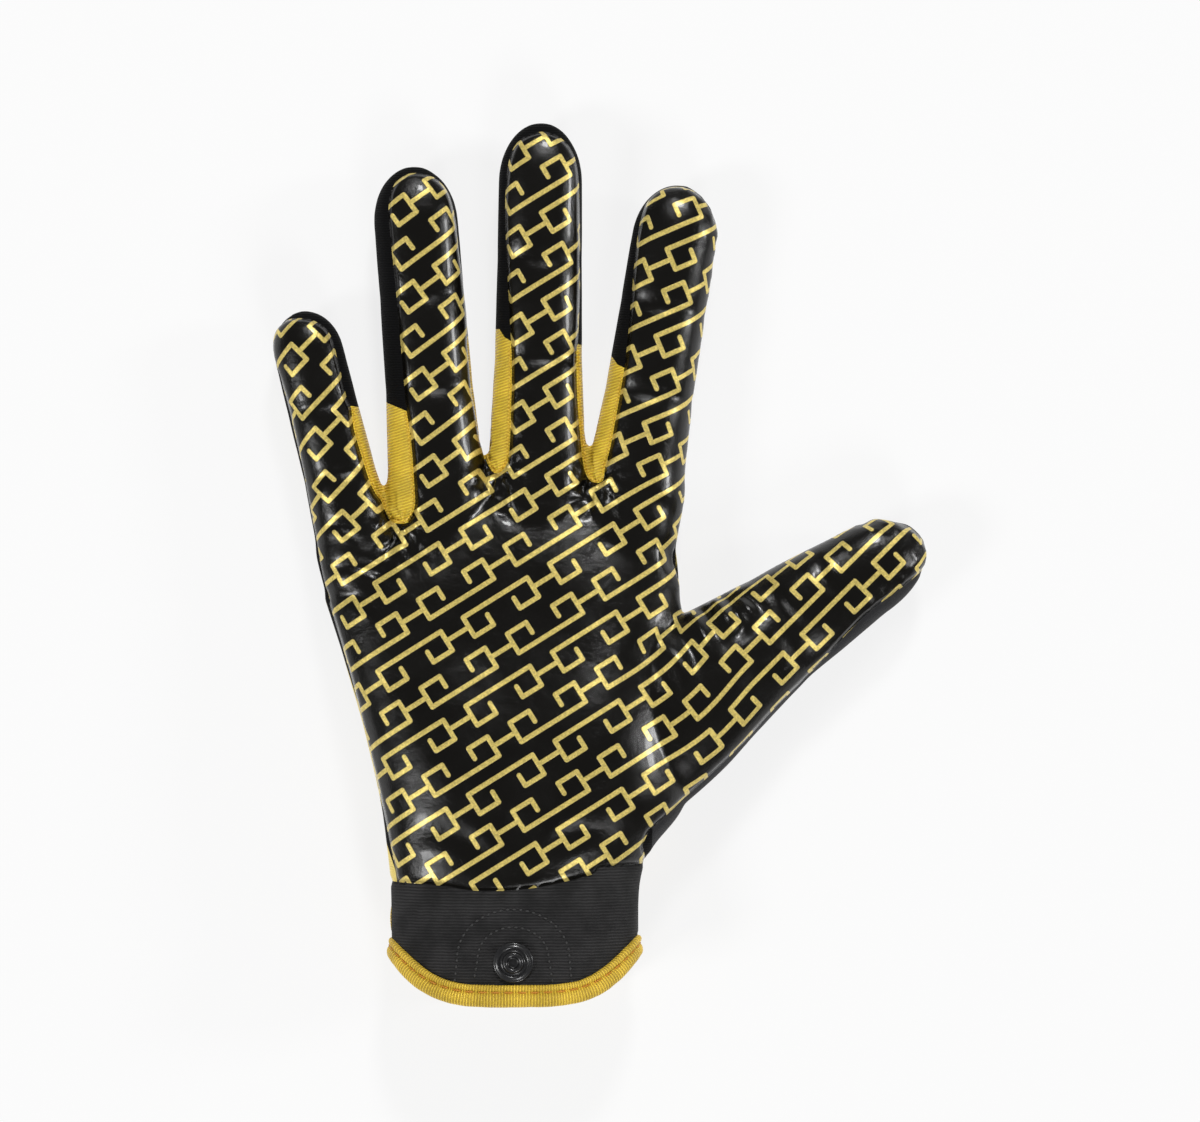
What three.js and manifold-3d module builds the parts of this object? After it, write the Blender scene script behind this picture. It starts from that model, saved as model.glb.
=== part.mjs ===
// Right-hand football glove, lying palm up. Millimetres, +Y to the fingertips, +X to the thumb, +Z up.
import * as THREE from 'three';
import { mergeVertices } from 'three/addons/utils/BufferGeometryUtils.js';
import Module from 'manifold-3d';

const wasm = await Module();
wasm.setup();

// Driving dimensions of the whole glove
const CUFF_LENGTH = 29.5;
const PALM_LENGTH = 98;
const PALM_WIDTH = 91.5;
const HAND_DEPTH = 31;
const FINGER_LENGTH = 86.3;
const FINGER_WIDTH = 21;
const FINGER_DEPTH = 19;
const THUMB_LENGTH = 76;
const THUMB_WIDTH = 24;
const THUMB_DEPTH = 22;
const THUMB_SPREAD = 34.4;

// Material and seams
const WALL = 1.7;
const SEAM_GAP = 0.3;

// Arches of the knuckle line and of the hem, seen from above
const KNUCKLE_BOW = 22;
const HEM_BOW = 11.5;
const HEM_SPAN = 1.25;
const HEM_FLATNESS = 3.8;

// Side walls between the fingers
const FOURCHETTE_WIDTH = 10.2;
const FOURCHETTE_INSET = 0.25;
const FOURCHETTE_ROOT = 0.6;
const FOURCHETTE_REACH = 32;

// Hem binding, folded over the edge of the cuff
const HEM_BINDING_WIDTH = 4.8;
const HEM_BINDING_CLOTH = 0.8;

// Strap across the back of the wrist, and the binding round it
const STRAP_WIDTH = 29.6;
const STRAP_LENGTH = 61;
const STRAP_CLOTH = 1.6;
const STRAP_BINDING_WIDTH = 4.7;
const STRAP_BINDING_CLOTH = 2.1;
const STRAP_SETBACK = 5.4;
const STRAP_PRESSED = 0.6;

// Wrist slit beside the thumb, with its loop of binding
const SLIT_LENGTH = 12;
const SLIT_WIDTH = 4.6;
const SLIT_LEAN = 22;
const SLIT_TAPER = 0.8;
const SLIT_BINDING_WIDTH = 3.2;
const SLIT_BINDING_CLOTH = 0.6;
const SLIT_CLIMB = 11;

// Press stud on the palm side of the cuff
const STUD_DIAMETER = 9.8;
const STUD_RING_DIAMETER = 5.2;
const STUD_HEIGHT = 1.9;
const STUD_SETBACK = 10.4;
const STUD_FLANGE_HEIGHT = 0.9;
const STUD_EDGE = 0.35;

// Fineness of the faceting
const HAND_SIDES = 26;
const FINGER_SIDES = 14;
const TIP_STEPS = 3;
const TIP_CLOSING = 0.48 * Math.PI;
const ARC_STEPS = 6;
const STUD_SIDES = 14;
const SQUARENESS = 2.3;

const HAND_LENGTH = CUFF_LENGTH + PALM_LENGTH;
const WRIST_HALF_WIDTH = 0.332 * PALM_WIDTH;
const KNUCKLE_CENTRE = 0.055 * PALM_WIDTH;
const FINGER_ROOT = HAND_LENGTH + 0.02 * PALM_LENGTH;
const FAR = 2 * (HAND_LENGTH + FINGER_LENGTH);

// The strap lies under the cuff and is pressed flat, so the cuff is carried this far above the surface
const CUFF_LIFT = SEAM_GAP + STRAP_BINDING_CLOTH - STRAP_PRESSED;

// Cross sections of the hand. cuff and palm place the section along the two lengths, little and thumb
// are its reach to each side as shares of the palm width, lift is a share of the cuff's lift, floor and
// crest are heights as shares of the hand's depth, bow is a share of the knuckle bow.
const HAND_SECTIONS = [
  { cuff: -0.9, palm: 0.0, little: 0.316, thumb: 0.32, lift: 1, floor: 0, crest: 1.0, bow: 0 },
  { cuff: 0.1, palm: 0.0, little: 0.324, thumb: 0.328, lift: 1, floor: 0, crest: 1.02, bow: 0 },
  { cuff: 0.6, palm: 0.0, little: 0.328, thumb: 0.332, lift: 1, floor: 0, crest: 0.99, bow: 0 },
  { cuff: 1.0, palm: 0.0, little: 0.331, thumb: 0.338, lift: 1, floor: 0, crest: 0.96, bow: 0 },
  { cuff: 1.0, palm: 0.08, little: 0.341, thumb: 0.37, lift: 0.9, floor: 0, crest: 0.99, bow: 0 },
  { cuff: 1.0, palm: 0.2, little: 0.362, thumb: 0.46, lift: 0.5, floor: 0, crest: 1.0, bow: 0 },
  { cuff: 1.0, palm: 0.37, little: 0.402, thumb: 0.455, lift: 0, floor: -0.03, crest: 1.0, bow: 0 },
  { cuff: 1.0, palm: 0.55, little: 0.45, thumb: 0.45, lift: 0, floor: -0.045, crest: 0.95, bow: 0.1 },
  { cuff: 1.0, palm: 0.73, little: 0.495, thumb: 0.445, lift: 0, floor: -0.045, crest: 0.86, bow: 0.25 },
  { cuff: 1.0, palm: 0.86, little: 0.51, thumb: 0.44, lift: 0, floor: -0.04, crest: 0.73, bow: 0.55 },
  { cuff: 1.0, palm: 0.95, little: 0.51, thumb: 0.43, lift: 0, floor: 0.0, crest: 0.6, bow: 0.8 },
  { cuff: 1.0, palm: 0.995, little: 0.5, thumb: 0.42, lift: 0, floor: 0.09, crest: 0.49, bow: 1 },
  { cuff: 1.0, palm: 1.01, little: 0.48, thumb: 0.4, lift: 0, floor: 0.2, crest: 0.4, bow: 1 },
];

const HEM_SECTION = HAND_SECTIONS[1];

// Mounds and hollow of the palm: place across and along, spread and rise, as shares of the palm width,
// the palm length, the palm width and the hand's depth
const MOUNDS = [
  { across: 0.27, along: 0.34, spread: 0.25, rise: 0.15 },
  { across: -0.27, along: 0.28, spread: 0.2, rise: 0.07 },
  { across: -0.03, along: 0.62, spread: 0.25, rise: -0.13 },
];

// Fingers: place across the palm, length, width, lean to the thumb in degrees, and how far the
// fourchette climbs its little-finger side and its thumb side
const FINGERS = [
  { name: 'index', across: 0.316, length: 0.905, width: 1.0, lean: 9.2, little: 0.97, thumb: 0 },
  { name: 'middle', across: 0.061, length: 1.0, width: 1.0, lean: 0.7, little: 1.06, thumb: 1.03 },
  { name: 'ring', across: -0.206, length: 0.948, width: 1.0, lean: -4.5, little: 0.88, thumb: 1.03 },
  { name: 'little', across: -0.417, length: 0.71, width: 0.83, lean: -14.2, little: 0, thumb: 0.85 },
];

// Cross sections of a finger, as shares of its length, its width and the finger depth. floor and crest
// are the heights of its back and of its palm side; the low crests are the joint folds.
const FINGER_SECTIONS = [
  { along: -0.32, width: 1.16, floor: -0.06, crest: 1.08 },
  { along: 0.0, width: 1.215, floor: -0.06, crest: 1.07 },
  { along: 0.1, width: 1.12, floor: -0.05, crest: 1.04 },
  { along: 0.28, width: 1.045, floor: -0.03, crest: 1.04 },
  { along: 0.33, width: 1.02, floor: -0.03, crest: 0.98 },
  { along: 0.38, width: 1.02, floor: -0.02, crest: 1.02 },
  { along: 0.56, width: 1.0, floor: 0.02, crest: 1.0 },
  { along: 0.61, width: 0.99, floor: 0.03, crest: 0.95 },
  { along: 0.66, width: 0.995, floor: 0.05, crest: 0.99 },
  { along: 0.83, width: 0.985, floor: 0.11, crest: 0.97 },
];
const FINGER_TIP = { start: 0.83, centre: 0.56, swerve: 0 };

// Cross sections of the thumb, as shares of its length, width and depth, swerve as a share of its width
const THUMB_SECTIONS = [
  { along: -0.34, width: 1.7, floor: 0.12, crest: 1.2, swerve: -0.08 },
  { along: 0.0, width: 1.64, floor: 0.08, crest: 1.24, swerve: 0.0 },
  { along: 0.2, width: 1.42, floor: 0.08, crest: 1.18, swerve: 0.03 },
  { along: 0.4, width: 1.2, floor: 0.1, crest: 1.07, swerve: 0.06 },
  { along: 0.46, width: 1.14, floor: 0.11, crest: 1.0, swerve: 0.065 },
  { along: 0.58, width: 1.07, floor: 0.12, crest: 1.03, swerve: 0.06 },
  { along: 0.76, width: 0.93, floor: 0.16, crest: 0.95, swerve: 0.05 },
];
const THUMB_TIP = { start: 0.76, centre: 0.54, swerve: 0.03 };
const THUMB_ROOT = { across: 0.415, along: 0.42 };

// Height of the seam between palm and back, as a share of the hand's depth, along the palm length
const SIDE_SEAM = [
  { along: -1, height: 0.53 },
  { along: 0.1, height: 0.52 },
  { along: 0.7, height: 0.45 },
  { along: 1.0, height: 0.36 },
  { along: 2.5, height: 0.34 },
];

const WRIST_SIDE_SEAM = SIDE_SEAM[1];
const KNUCKLE_SEAM = SIDE_SEAM[3];

// Seam between palm and cuff: across the palm width, and along the cuff length
const WRIST_SEAM = [
  { across: -1.3, along: 1.03 },
  { across: -0.33, along: 1.0 },
  { across: -0.1, along: 0.94 },
  { across: 0.05, along: 0.96 },
  { across: 0.2, along: 1.06 },
  { across: 0.34, along: 1.15 },
  { across: 1.3, along: 1.18 },
];

// Seam between the back and the thumb's back: across the palm width, along the palm length
const THUMB_SEAM = [
  { across: 0.37, along: -0.4 },
  { across: 0.372, along: 0.2 },
  { across: 0.402, along: 0.3 },
  { across: 0.43, along: 0.52 },
  { across: 0.452, along: 0.68 },
  { across: 0.475, along: 0.74 },
  { across: 0.56, along: 0.9 },
  { across: 0.6, along: 1.3 },
];

const SLIT_SEAM = THUMB_SEAM[1];

const gold = { color: 0xf0b632, roughness: 0.62, metalness: 0 };
const FINISHES = {
  printedPalm: { color: 0x14130f, roughness: 0.34, metalness: 0 },
  blackKnit: { color: 0x232325, roughness: 0.9, metalness: 0 },
  greySuede: { color: 0x3c3c3e, roughness: 0.95, metalness: 0 },
  goldStretch: gold,
  charcoalKnit: { color: 0x2a2a2e, roughness: 0.9, metalness: 0 },
  goldBinding: gold,
  blackStrap: { color: 0x1b1b1d, roughness: 0.7, metalness: 0 },
  blackStud: { color: 0x101012, roughness: 0.3, metalness: 0.2 },
};

// Turns a closed geometry into a solid that can be joined and cut
function solid(geometry) {
  geometry.deleteAttribute('normal');
  geometry.deleteAttribute('uv');
  const merged = mergeVertices(geometry, 1e-4);
  const mesh = new wasm.Mesh({
    numProp: 3,
    vertProperties: new Float32Array(merged.getAttribute('position').array),
    triVerts: new Uint32Array(merged.getIndex().array),
  });
  return new wasm.Manifold(mesh);
}

// Skins a row of rings of points, and closes both ends with a fan
function skin(rings) {
  const sides = rings[0].length;
  const points = rings.flat();
  const first = rings[0].reduce((sum, point) => sum.add(point), new THREE.Vector3()).divideScalar(sides);
  const last = rings.at(-1).reduce((sum, point) => sum.add(point), new THREE.Vector3()).divideScalar(sides);
  const firstIndex = points.push(first) - 1;
  const lastIndex = points.push(last) - 1;
  const faces = [];
  for (let side = 0; side < sides; side += 1) {
    const next = (side + 1) % sides;
    for (let ring = 0; ring + 1 < rings.length; ring += 1) {
      const low = ring * sides;
      const high = low + sides;
      faces.push(low + side, low + next, high + next, low + side, high + next, high + side);
    }
    const end = (rings.length - 1) * sides;
    faces.push(firstIndex, next, side, lastIndex, end + side, end + next);
  }
  const geometry = new THREE.BufferGeometry().setFromPoints(points);
  geometry.setIndex(faces);
  return solid(geometry);
}

// Unit point of a rounded square, by its angle
function roundedSquare(angle) {
  const power = 2 / SQUARENESS;
  return {
    x: Math.sign(Math.cos(angle)) * Math.abs(Math.cos(angle)) ** power,
    z: Math.sign(Math.sin(angle)) * Math.abs(Math.sin(angle)) ** power,
  };
}

// Rise of the palm's mounds and hollow over its plain form
function moundHeight(x, y) {
  return MOUNDS.reduce((rise, mound) => {
    const dx = x - mound.across * PALM_WIDTH;
    const dy = y - CUFF_LENGTH - mound.along * PALM_LENGTH;
    const distance = Math.hypot(dx, dy) / (mound.spread * PALM_WIDTH);
    return rise + mound.rise * HAND_DEPTH * Math.exp(-distance * distance);
  }, 0);
}

// One ring of the hand, grown outwards from the leather's outer face, or shrunk if grow is negative
function handRing(row, grow) {
  const left = -row.little * PALM_WIDTH - grow;
  const right = row.thumb * PALM_WIDTH + grow;
  const low = row.lift * CUFF_LIFT + row.floor * HAND_DEPTH - grow;
  const high = row.lift * CUFF_LIFT + row.crest * HAND_DEPTH + grow;
  const place = row.cuff * CUFF_LENGTH + row.palm * PALM_LENGTH + row.bow * grow;
  const ring = [];
  for (let side = 0; side < HAND_SIDES; side += 1) {
    const unit = roundedSquare((-2 * Math.PI * side) / HAND_SIDES);
    const x = (left + right) / 2 + (unit.x * (right - left)) / 2;
    const reach = (x - KNUCKLE_CENTRE) / (PALM_WIDTH / 2);
    const y = place - row.bow * KNUCKLE_BOW * reach * reach;
    const plain = (low + high) / 2 + (unit.z * (high - low)) / 2;
    ring.push(new THREE.Vector3(x, y, plain + Math.max(unit.z, 0) * moundHeight(x, y)));
  }
  return ring;
}

// Quarter-round shares of place and size that close a fingertip
function tipRow(step, tip) {
  const angle = (step / TIP_STEPS) * TIP_CLOSING;
  return { place: tip.start + (1 - tip.start) * Math.sin(angle), size: Math.cos(angle) };
}

// Rings of a finger or thumb along its axis. The frame gives its root, its heading and its sizes.
function digitRings(frame, sections, tip, grow) {
  const rows = sections.map((row) => ({ ...row }));
  const last = sections.at(-1);
  for (let step = 1; step <= TIP_STEPS; step += 1) {
    const { place, size } = tipRow(step, tip);
    rows.push({
      along: place,
      width: last.width * size,
      floor: tip.centre + (last.floor - tip.centre) * size,
      crest: tip.centre + (last.crest - tip.centre) * size,
      swerve: tip.swerve,
      closing: 1,
    });
  }
  const heading = new THREE.Vector3(Math.cos(frame.heading), Math.sin(frame.heading), 0);
  const across = new THREE.Vector3(heading.y, -heading.x, 0);
  return rows.map((row) => {
    const share = row.closing ? row.width / last.width : 1;
    const wide = (row.width * frame.width) / 2 + grow * share;
    const low = row.floor * frame.depth - grow * share;
    const high = row.crest * frame.depth + grow * share;
    const along = row.along * frame.length + (row.closing ? grow * Math.sqrt(1 - share * share) : 0);
    const centre = frame.root.clone().addScaledVector(heading, along);
    centre.addScaledVector(across, -(row.swerve ?? 0) * frame.width);
    return Array.from({ length: FINGER_SIDES }, (_, side) => {
      const unit = roundedSquare((-2 * Math.PI * side) / FINGER_SIDES);
      const point = centre.clone().addScaledVector(across, unit.x * wide);
      point.z = (low + high) / 2 + (unit.z * (high - low)) / 2;
      return point;
    });
  });
}

// Point where a finger's axis crosses the knuckle line
function fingerFrame(finger) {
  const x = finger.across * PALM_WIDTH;
  const reach = (x - KNUCKLE_CENTRE) / (PALM_WIDTH / 2);
  return {
    root: new THREE.Vector3(x, FINGER_ROOT - KNUCKLE_BOW * reach * reach, 0),
    heading: THREE.MathUtils.degToRad(90 - finger.lean),
    length: finger.length * FINGER_LENGTH,
    width: finger.width * FINGER_WIDTH,
    depth: FINGER_DEPTH,
  };
}

function thumbFrame() {
  return {
    root: new THREE.Vector3(
      THUMB_ROOT.across * PALM_WIDTH,
      CUFF_LENGTH + THUMB_ROOT.along * PALM_LENGTH,
      0,
    ),
    heading: THREE.MathUtils.degToRad(THUMB_SPREAD),
    length: THUMB_LENGTH,
    width: THUMB_WIDTH,
    depth: THUMB_DEPTH,
  };
}

function handForm(grow) {
  return skin(HAND_SECTIONS.map((row) => handRing(row, grow)));
}

// The glove's outer face, or a copy of it grown or shrunk, flattened where it lies
function gloveForm(grow) {
  const digits = FINGERS.map((finger) => {
    return skin(digitRings(fingerFrame(finger), FINGER_SECTIONS, FINGER_TIP, grow));
  });
  digits.push(skin(digitRings(thumbFrame(), THUMB_SECTIONS, THUMB_TIP, grow)));
  const joined = digits.reduce((form, digit) => form.add(digit), handForm(grow));
  return joined.intersect(slab(Math.max(-grow, 0), FAR));
}

// Everything between two heights
function slab(low, high) {
  const box = new THREE.BoxGeometry(FAR * 2, FAR * 2, high - low);
  box.translate(0, 0, (low + high) / 2);
  return solid(box);
}

// A flat outline raised between two heights
function prism(shape, low, high) {
  const geometry = new THREE.ExtrudeGeometry(shape, {
    depth: high - low,
    bevelEnabled: false,
    curveSegments: ARC_STEPS,
  });
  geometry.translate(0, 0, low);
  return solid(geometry);
}

function shapeOf(points) {
  return new THREE.Shape(points.map(([x, y]) => new THREE.Vector2(x, y)));
}

// Everything on the palm side of the side seam, which is moved up by offset
function abovePalmSeam(offset) {
  const line = SIDE_SEAM.map((row) => {
    return [CUFF_LENGTH + row.along * PALM_LENGTH, row.height * HAND_DEPTH + offset];
  });
  const outline = shapeOf([[line[0][0], FAR], ...line, [line.at(-1)[0], FAR]]);
  const geometry = new THREE.ExtrudeGeometry(outline, { depth: 2 * FAR, bevelEnabled: false });
  geometry.rotateX(Math.PI / 2);
  geometry.rotateZ(Math.PI / 2);
  geometry.translate(-FAR, 0, 0);
  return solid(geometry);
}

// Everything beyond the wrist seam, towards the fingers
function beyondWristSeam(offset) {
  const line = WRIST_SEAM.map((row) => {
    return [row.across * PALM_WIDTH, row.along * CUFF_LENGTH + offset];
  });
  return prism(shapeOf([...line, [line.at(-1)[0], FAR], [line[0][0], FAR]]), -FAR, FAR);
}

// Everything beyond the curved hem, towards the fingers
function beyondHem(offset) {
  const line = [];
  for (let step = -ARC_STEPS; step <= ARC_STEPS; step += 1) {
    const share = (HEM_SPAN * step) / ARC_STEPS;
    line.push([share * WRIST_HALF_WIDTH, HEM_BOW * Math.abs(share) ** HEM_FLATNESS + offset]);
  }
  const sideEnds = [[FAR, line.at(-1)[1]], [FAR, FAR], [-FAR, FAR], [-FAR, line[0][1]]];
  return prism(shapeOf([...line, ...sideEnds]), -FAR, FAR);
}

// Everything on the thumb's side of the seam down the back
function besideThumbSeam(offset) {
  const line = THUMB_SEAM.map((row) => {
    return [row.across * PALM_WIDTH + offset, CUFF_LENGTH + row.along * PALM_LENGTH];
  });
  const outline = [...line, [FAR, line.at(-1)[1]], [FAR, line[0][1]]];
  return prism(shapeOf(outline.reverse()), -FAR, FAR);
}

// A point beside a finger's axis, at a distance from the knuckle line and a step towards the thumb
function besideAxis(frame, distance, step) {
  return [
    frame.root.x + Math.cos(frame.heading) * distance + Math.sin(frame.heading) * step,
    frame.root.y + Math.sin(frame.heading) * distance - Math.cos(frame.heading) * step,
  ];
}

// The space of one fourchette, between two neighbouring finger axes
function fourchetteSpace(thumbSide, littleSide, grow) {
  const near = fingerFrame(thumbSide);
  const far = fingerFrame(littleSide);
  const nearReach = thumbSide.little * FOURCHETTE_REACH + grow;
  const farReach = littleSide.thumb * FOURCHETTE_REACH + grow;
  const below = -FOURCHETTE_ROOT * FINGER_WIDTH;
  const step = FOURCHETTE_INSET * FINGER_WIDTH - grow;
  const outline = [
    besideAxis(far, below, step),
    besideAxis(near, below, -step),
    besideAxis(near, nearReach, -step),
    besideAxis(far, farReach, step),
  ];
  const middle = KNUCKLE_SEAM.height * HAND_DEPTH;
  const half = FOURCHETTE_WIDTH / 2 + grow;
  return prism(shapeOf(outline), middle - half, middle + half);
}

// Teardrop of the wrist slit, with its point towards the thumb and its round end at the strap
function slitOutline(grow) {
  const radius = SLIT_WIDTH / 2 + grow;
  const head = SLIT_LENGTH - SLIT_WIDTH;
  const points = [];
  for (let step = 0; step <= ARC_STEPS; step += 1) {
    const angle = Math.PI + (Math.PI * step) / ARC_STEPS;
    points.push(new THREE.Vector2(radius * Math.cos(angle), radius * Math.sin(angle)));
  }
  for (let step = 0; step <= ARC_STEPS; step += 1) {
    const angle = (Math.PI * step) / ARC_STEPS;
    const slim = SLIT_TAPER * radius;
    points.push(new THREE.Vector2(slim * Math.cos(angle), head + slim * Math.sin(angle)));
  }
  const turn = -THREE.MathUtils.degToRad(SLIT_LEAN);
  const origin = new THREE.Vector2();
  const place = new THREE.Vector2(
    SLIT_SEAM.across * PALM_WIDTH - SLIT_BINDING_WIDTH - SLIT_WIDTH / 2,
    STRAP_SETBACK + STRAP_WIDTH + SLIT_BINDING_WIDTH + SLIT_WIDTH / 2 + SEAM_GAP,
  );
  return new THREE.Shape(points.map((point) => point.rotateAround(origin, turn).add(place)));
}

// Outline of the strap with its round free end, inset all round, its root carried on by rootReach
function strapOutline(inset, rootReach) {
  const radius = STRAP_WIDTH / 2 - inset;
  const middle = STRAP_SETBACK + STRAP_WIDTH / 2;
  const root = STRAP_LENGTH / 2 + rootReach;
  const centre = -STRAP_LENGTH / 2 + STRAP_WIDTH / 2;
  const shape = new THREE.Shape();
  shape.moveTo(root, middle - radius);
  shape.lineTo(root, middle + radius);
  shape.lineTo(centre, middle + radius);
  shape.absarc(centre, middle, radius, Math.PI / 2, (3 * Math.PI) / 2, false);
  shape.lineTo(root, middle - radius);
  return shape;
}

// Height of the palm side of the cuff at the press stud
function cuffCrest() {
  return CUFF_LIFT + HEM_SECTION.crest * HAND_DEPTH;
}

// Builds the node from its finished solid
function piece(name, form, finish) {
  const data = form.getMesh();
  const geometry = new THREE.BufferGeometry();
  geometry.setAttribute('position', new THREE.BufferAttribute(new Float32Array(data.vertProperties), 3));
  geometry.setIndex(new THREE.BufferAttribute(new Uint32Array(data.triVerts), 1));
  geometry.computeVertexNormals();
  const mesh = new THREE.Mesh(geometry, new THREE.MeshStandardMaterial(finish));
  mesh.name = name;
  return mesh;
}

const outer = gloveForm(0);
const inner = gloveForm(-WALL);
const shell = outer.subtract(inner).intersect(beyondHem(HEM_BINDING_CLOTH + SEAM_GAP));
const handAndFingers = shell.intersect(beyondWristSeam(SEAM_GAP / 2));

const slitEdge = prism(slitOutline(0), -FAR, SLIT_CLIMB);
const slitSpace = prism(slitOutline(SLIT_BINDING_WIDTH), -FAR, SLIT_CLIMB);
const slitClear = prism(slitOutline(SLIT_BINDING_WIDTH + SEAM_GAP), -FAR, SLIT_CLIMB + SEAM_GAP);

const pairs = [];
for (let index = 0; index + 1 < FINGERS.length; index += 1) {
  pairs.push([FINGERS[index], FINGERS[index + 1]]);
}

function clearOfFourchettes(form) {
  return pairs.reduce((left, [near, far]) => left.subtract(fourchetteSpace(near, far, SEAM_GAP)), form);
}

const backHalf = handAndFingers.subtract(abovePalmSeam(-SEAM_GAP / 2));
const backSide = clearOfFourchettes(backHalf.subtract(slitClear));
const palmPanel = clearOfFourchettes(handAndFingers.intersect(abovePalmSeam(SEAM_GAP / 2)));
const backPanel = backSide.subtract(besideThumbSeam(-SEAM_GAP / 2));
const thumbBack = backSide.intersect(besideThumbSeam(SEAM_GAP / 2));

// Layers over the cuff: the hem binding is hollowed by the cuff's edge with a gap all round it
const cuff = shell.subtract(beyondWristSeam(-SEAM_GAP / 2));
const hemSkin = handForm(HEM_BINDING_CLOTH).subtract(handForm(-WALL - HEM_BINDING_CLOTH));
const cuffPocket = handForm(SEAM_GAP).subtract(handForm(-WALL - SEAM_GAP));
const hemBinding = hemSkin
  .intersect(beyondHem(0))
  .subtract(beyondHem(HEM_BINDING_WIDTH))
  .subtract(cuffPocket.intersect(beyondHem(HEM_BINDING_CLOTH)))
  .intersect(slab(0, FAR));

const slitSkin = gloveForm(SLIT_BINDING_CLOTH).subtract(gloveForm(-WALL - SLIT_BINDING_CLOTH));
const slitBinding = slitSkin.intersect(slitSpace).subtract(slitEdge).intersect(slab(0, FAR));

// The strap clears the hem binding, which it lies over
const underCuff = slab(0, WRIST_SIDE_SEAM.height * HAND_DEPTH);
const strapSeat = gloveForm(SEAM_GAP);
const strapBand = handForm(SEAM_GAP + STRAP_CLOTH).subtract(strapSeat);
const bindingBand = handForm(SEAM_GAP + STRAP_BINDING_CLOTH).subtract(strapSeat);
const hemClear = beyondHem(HEM_BINDING_WIDTH + SEAM_GAP);
const fieldSpace = prism(strapOutline(STRAP_BINDING_WIDTH + SEAM_GAP, 0), -FAR, FAR);
const bindingSpace = prism(strapOutline(0, 0), -FAR, FAR);
const fieldClear = prism(strapOutline(STRAP_BINDING_WIDTH, STRAP_BINDING_WIDTH), -FAR, FAR);
const strap = strapBand.intersect(fieldSpace).intersect(underCuff).intersect(hemClear);
const strapBinding = bindingBand
  .intersect(bindingSpace)
  .subtract(fieldClear)
  .intersect(underCuff)
  .intersect(hemClear);

// Press stud: a flange with a raised ring
function pressStud() {
  const flange = STUD_DIAMETER / 2;
  const ring = STUD_RING_DIAMETER / 2;
  const profile = [
    new THREE.Vector2(0, 0),
    new THREE.Vector2(flange - STUD_EDGE, 0),
    new THREE.Vector2(flange, STUD_EDGE),
    new THREE.Vector2(flange - STUD_EDGE, STUD_FLANGE_HEIGHT),
    new THREE.Vector2(ring + STUD_EDGE, STUD_FLANGE_HEIGHT),
    new THREE.Vector2(ring, STUD_HEIGHT),
    new THREE.Vector2(0, STUD_HEIGHT),
  ];
  const geometry = new THREE.LatheGeometry(profile, STUD_SIDES);
  geometry.rotateX(Math.PI / 2);
  geometry.translate(0, STUD_SETBACK, cuffCrest() + SEAM_GAP);
  return solid(geometry);
}

const group = new THREE.Group();
group.add(piece('palm_panel', palmPanel, FINISHES.printedPalm));
group.add(piece('back_panel', backPanel, FINISHES.blackKnit));
group.add(piece('thumb_back', thumbBack, FINISHES.greySuede));
pairs.forEach(([near, far]) => {
  const form = shell.intersect(fourchetteSpace(near, far, 0));
  group.add(piece(`fourchette_${near.name}_${far.name}`, form, FINISHES.goldStretch));
});
group.add(piece('cuff', cuff, FINISHES.charcoalKnit));
group.add(piece('hem_binding', hemBinding, FINISHES.goldBinding));
group.add(piece('slit_binding', slitBinding, FINISHES.goldBinding));
group.add(piece('strap', strap, FINISHES.blackStrap));
group.add(piece('strap_binding', strapBinding, FINISHES.goldBinding));
group.add(piece('press_stud', pressStud(), FINISHES.blackStud));

// The origin is the middle of the footprint, on the surface that the glove lies on
const extent = new THREE.Box3().setFromObject(group);
const centre = extent.getCenter(new THREE.Vector3());
group.position.set(-centre.x, -centre.y, -extent.min.z);

export default group;
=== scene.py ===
"""Looks of a right-hand football glove that lies palm up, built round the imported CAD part."""

import math
from collections import namedtuple

import bpy
import numpy as np
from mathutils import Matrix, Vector, kdtree, noise


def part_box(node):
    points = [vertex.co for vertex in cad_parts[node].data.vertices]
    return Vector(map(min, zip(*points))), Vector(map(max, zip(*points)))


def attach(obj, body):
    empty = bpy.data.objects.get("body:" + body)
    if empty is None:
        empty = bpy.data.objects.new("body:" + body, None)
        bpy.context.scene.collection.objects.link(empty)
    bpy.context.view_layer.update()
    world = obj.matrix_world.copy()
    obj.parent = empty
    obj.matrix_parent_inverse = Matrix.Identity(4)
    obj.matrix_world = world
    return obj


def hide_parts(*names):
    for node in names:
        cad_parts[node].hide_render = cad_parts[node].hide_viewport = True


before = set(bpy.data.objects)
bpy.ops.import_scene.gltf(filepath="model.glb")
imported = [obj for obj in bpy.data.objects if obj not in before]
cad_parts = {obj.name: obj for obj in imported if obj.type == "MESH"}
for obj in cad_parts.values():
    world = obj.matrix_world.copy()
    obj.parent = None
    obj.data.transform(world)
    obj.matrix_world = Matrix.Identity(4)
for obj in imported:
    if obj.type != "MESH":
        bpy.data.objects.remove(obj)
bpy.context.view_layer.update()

bl_info = {
    "name": "Football Glove",
    "version": (1, 0, 0),
    "blender": (4, 5, 0),
    "location": "View3D > Sidebar > Glove",
    "description": "Builds a right-hand football glove that lies palm up",
    "category": "Add Mesh",
}

MM = 0.001

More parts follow.
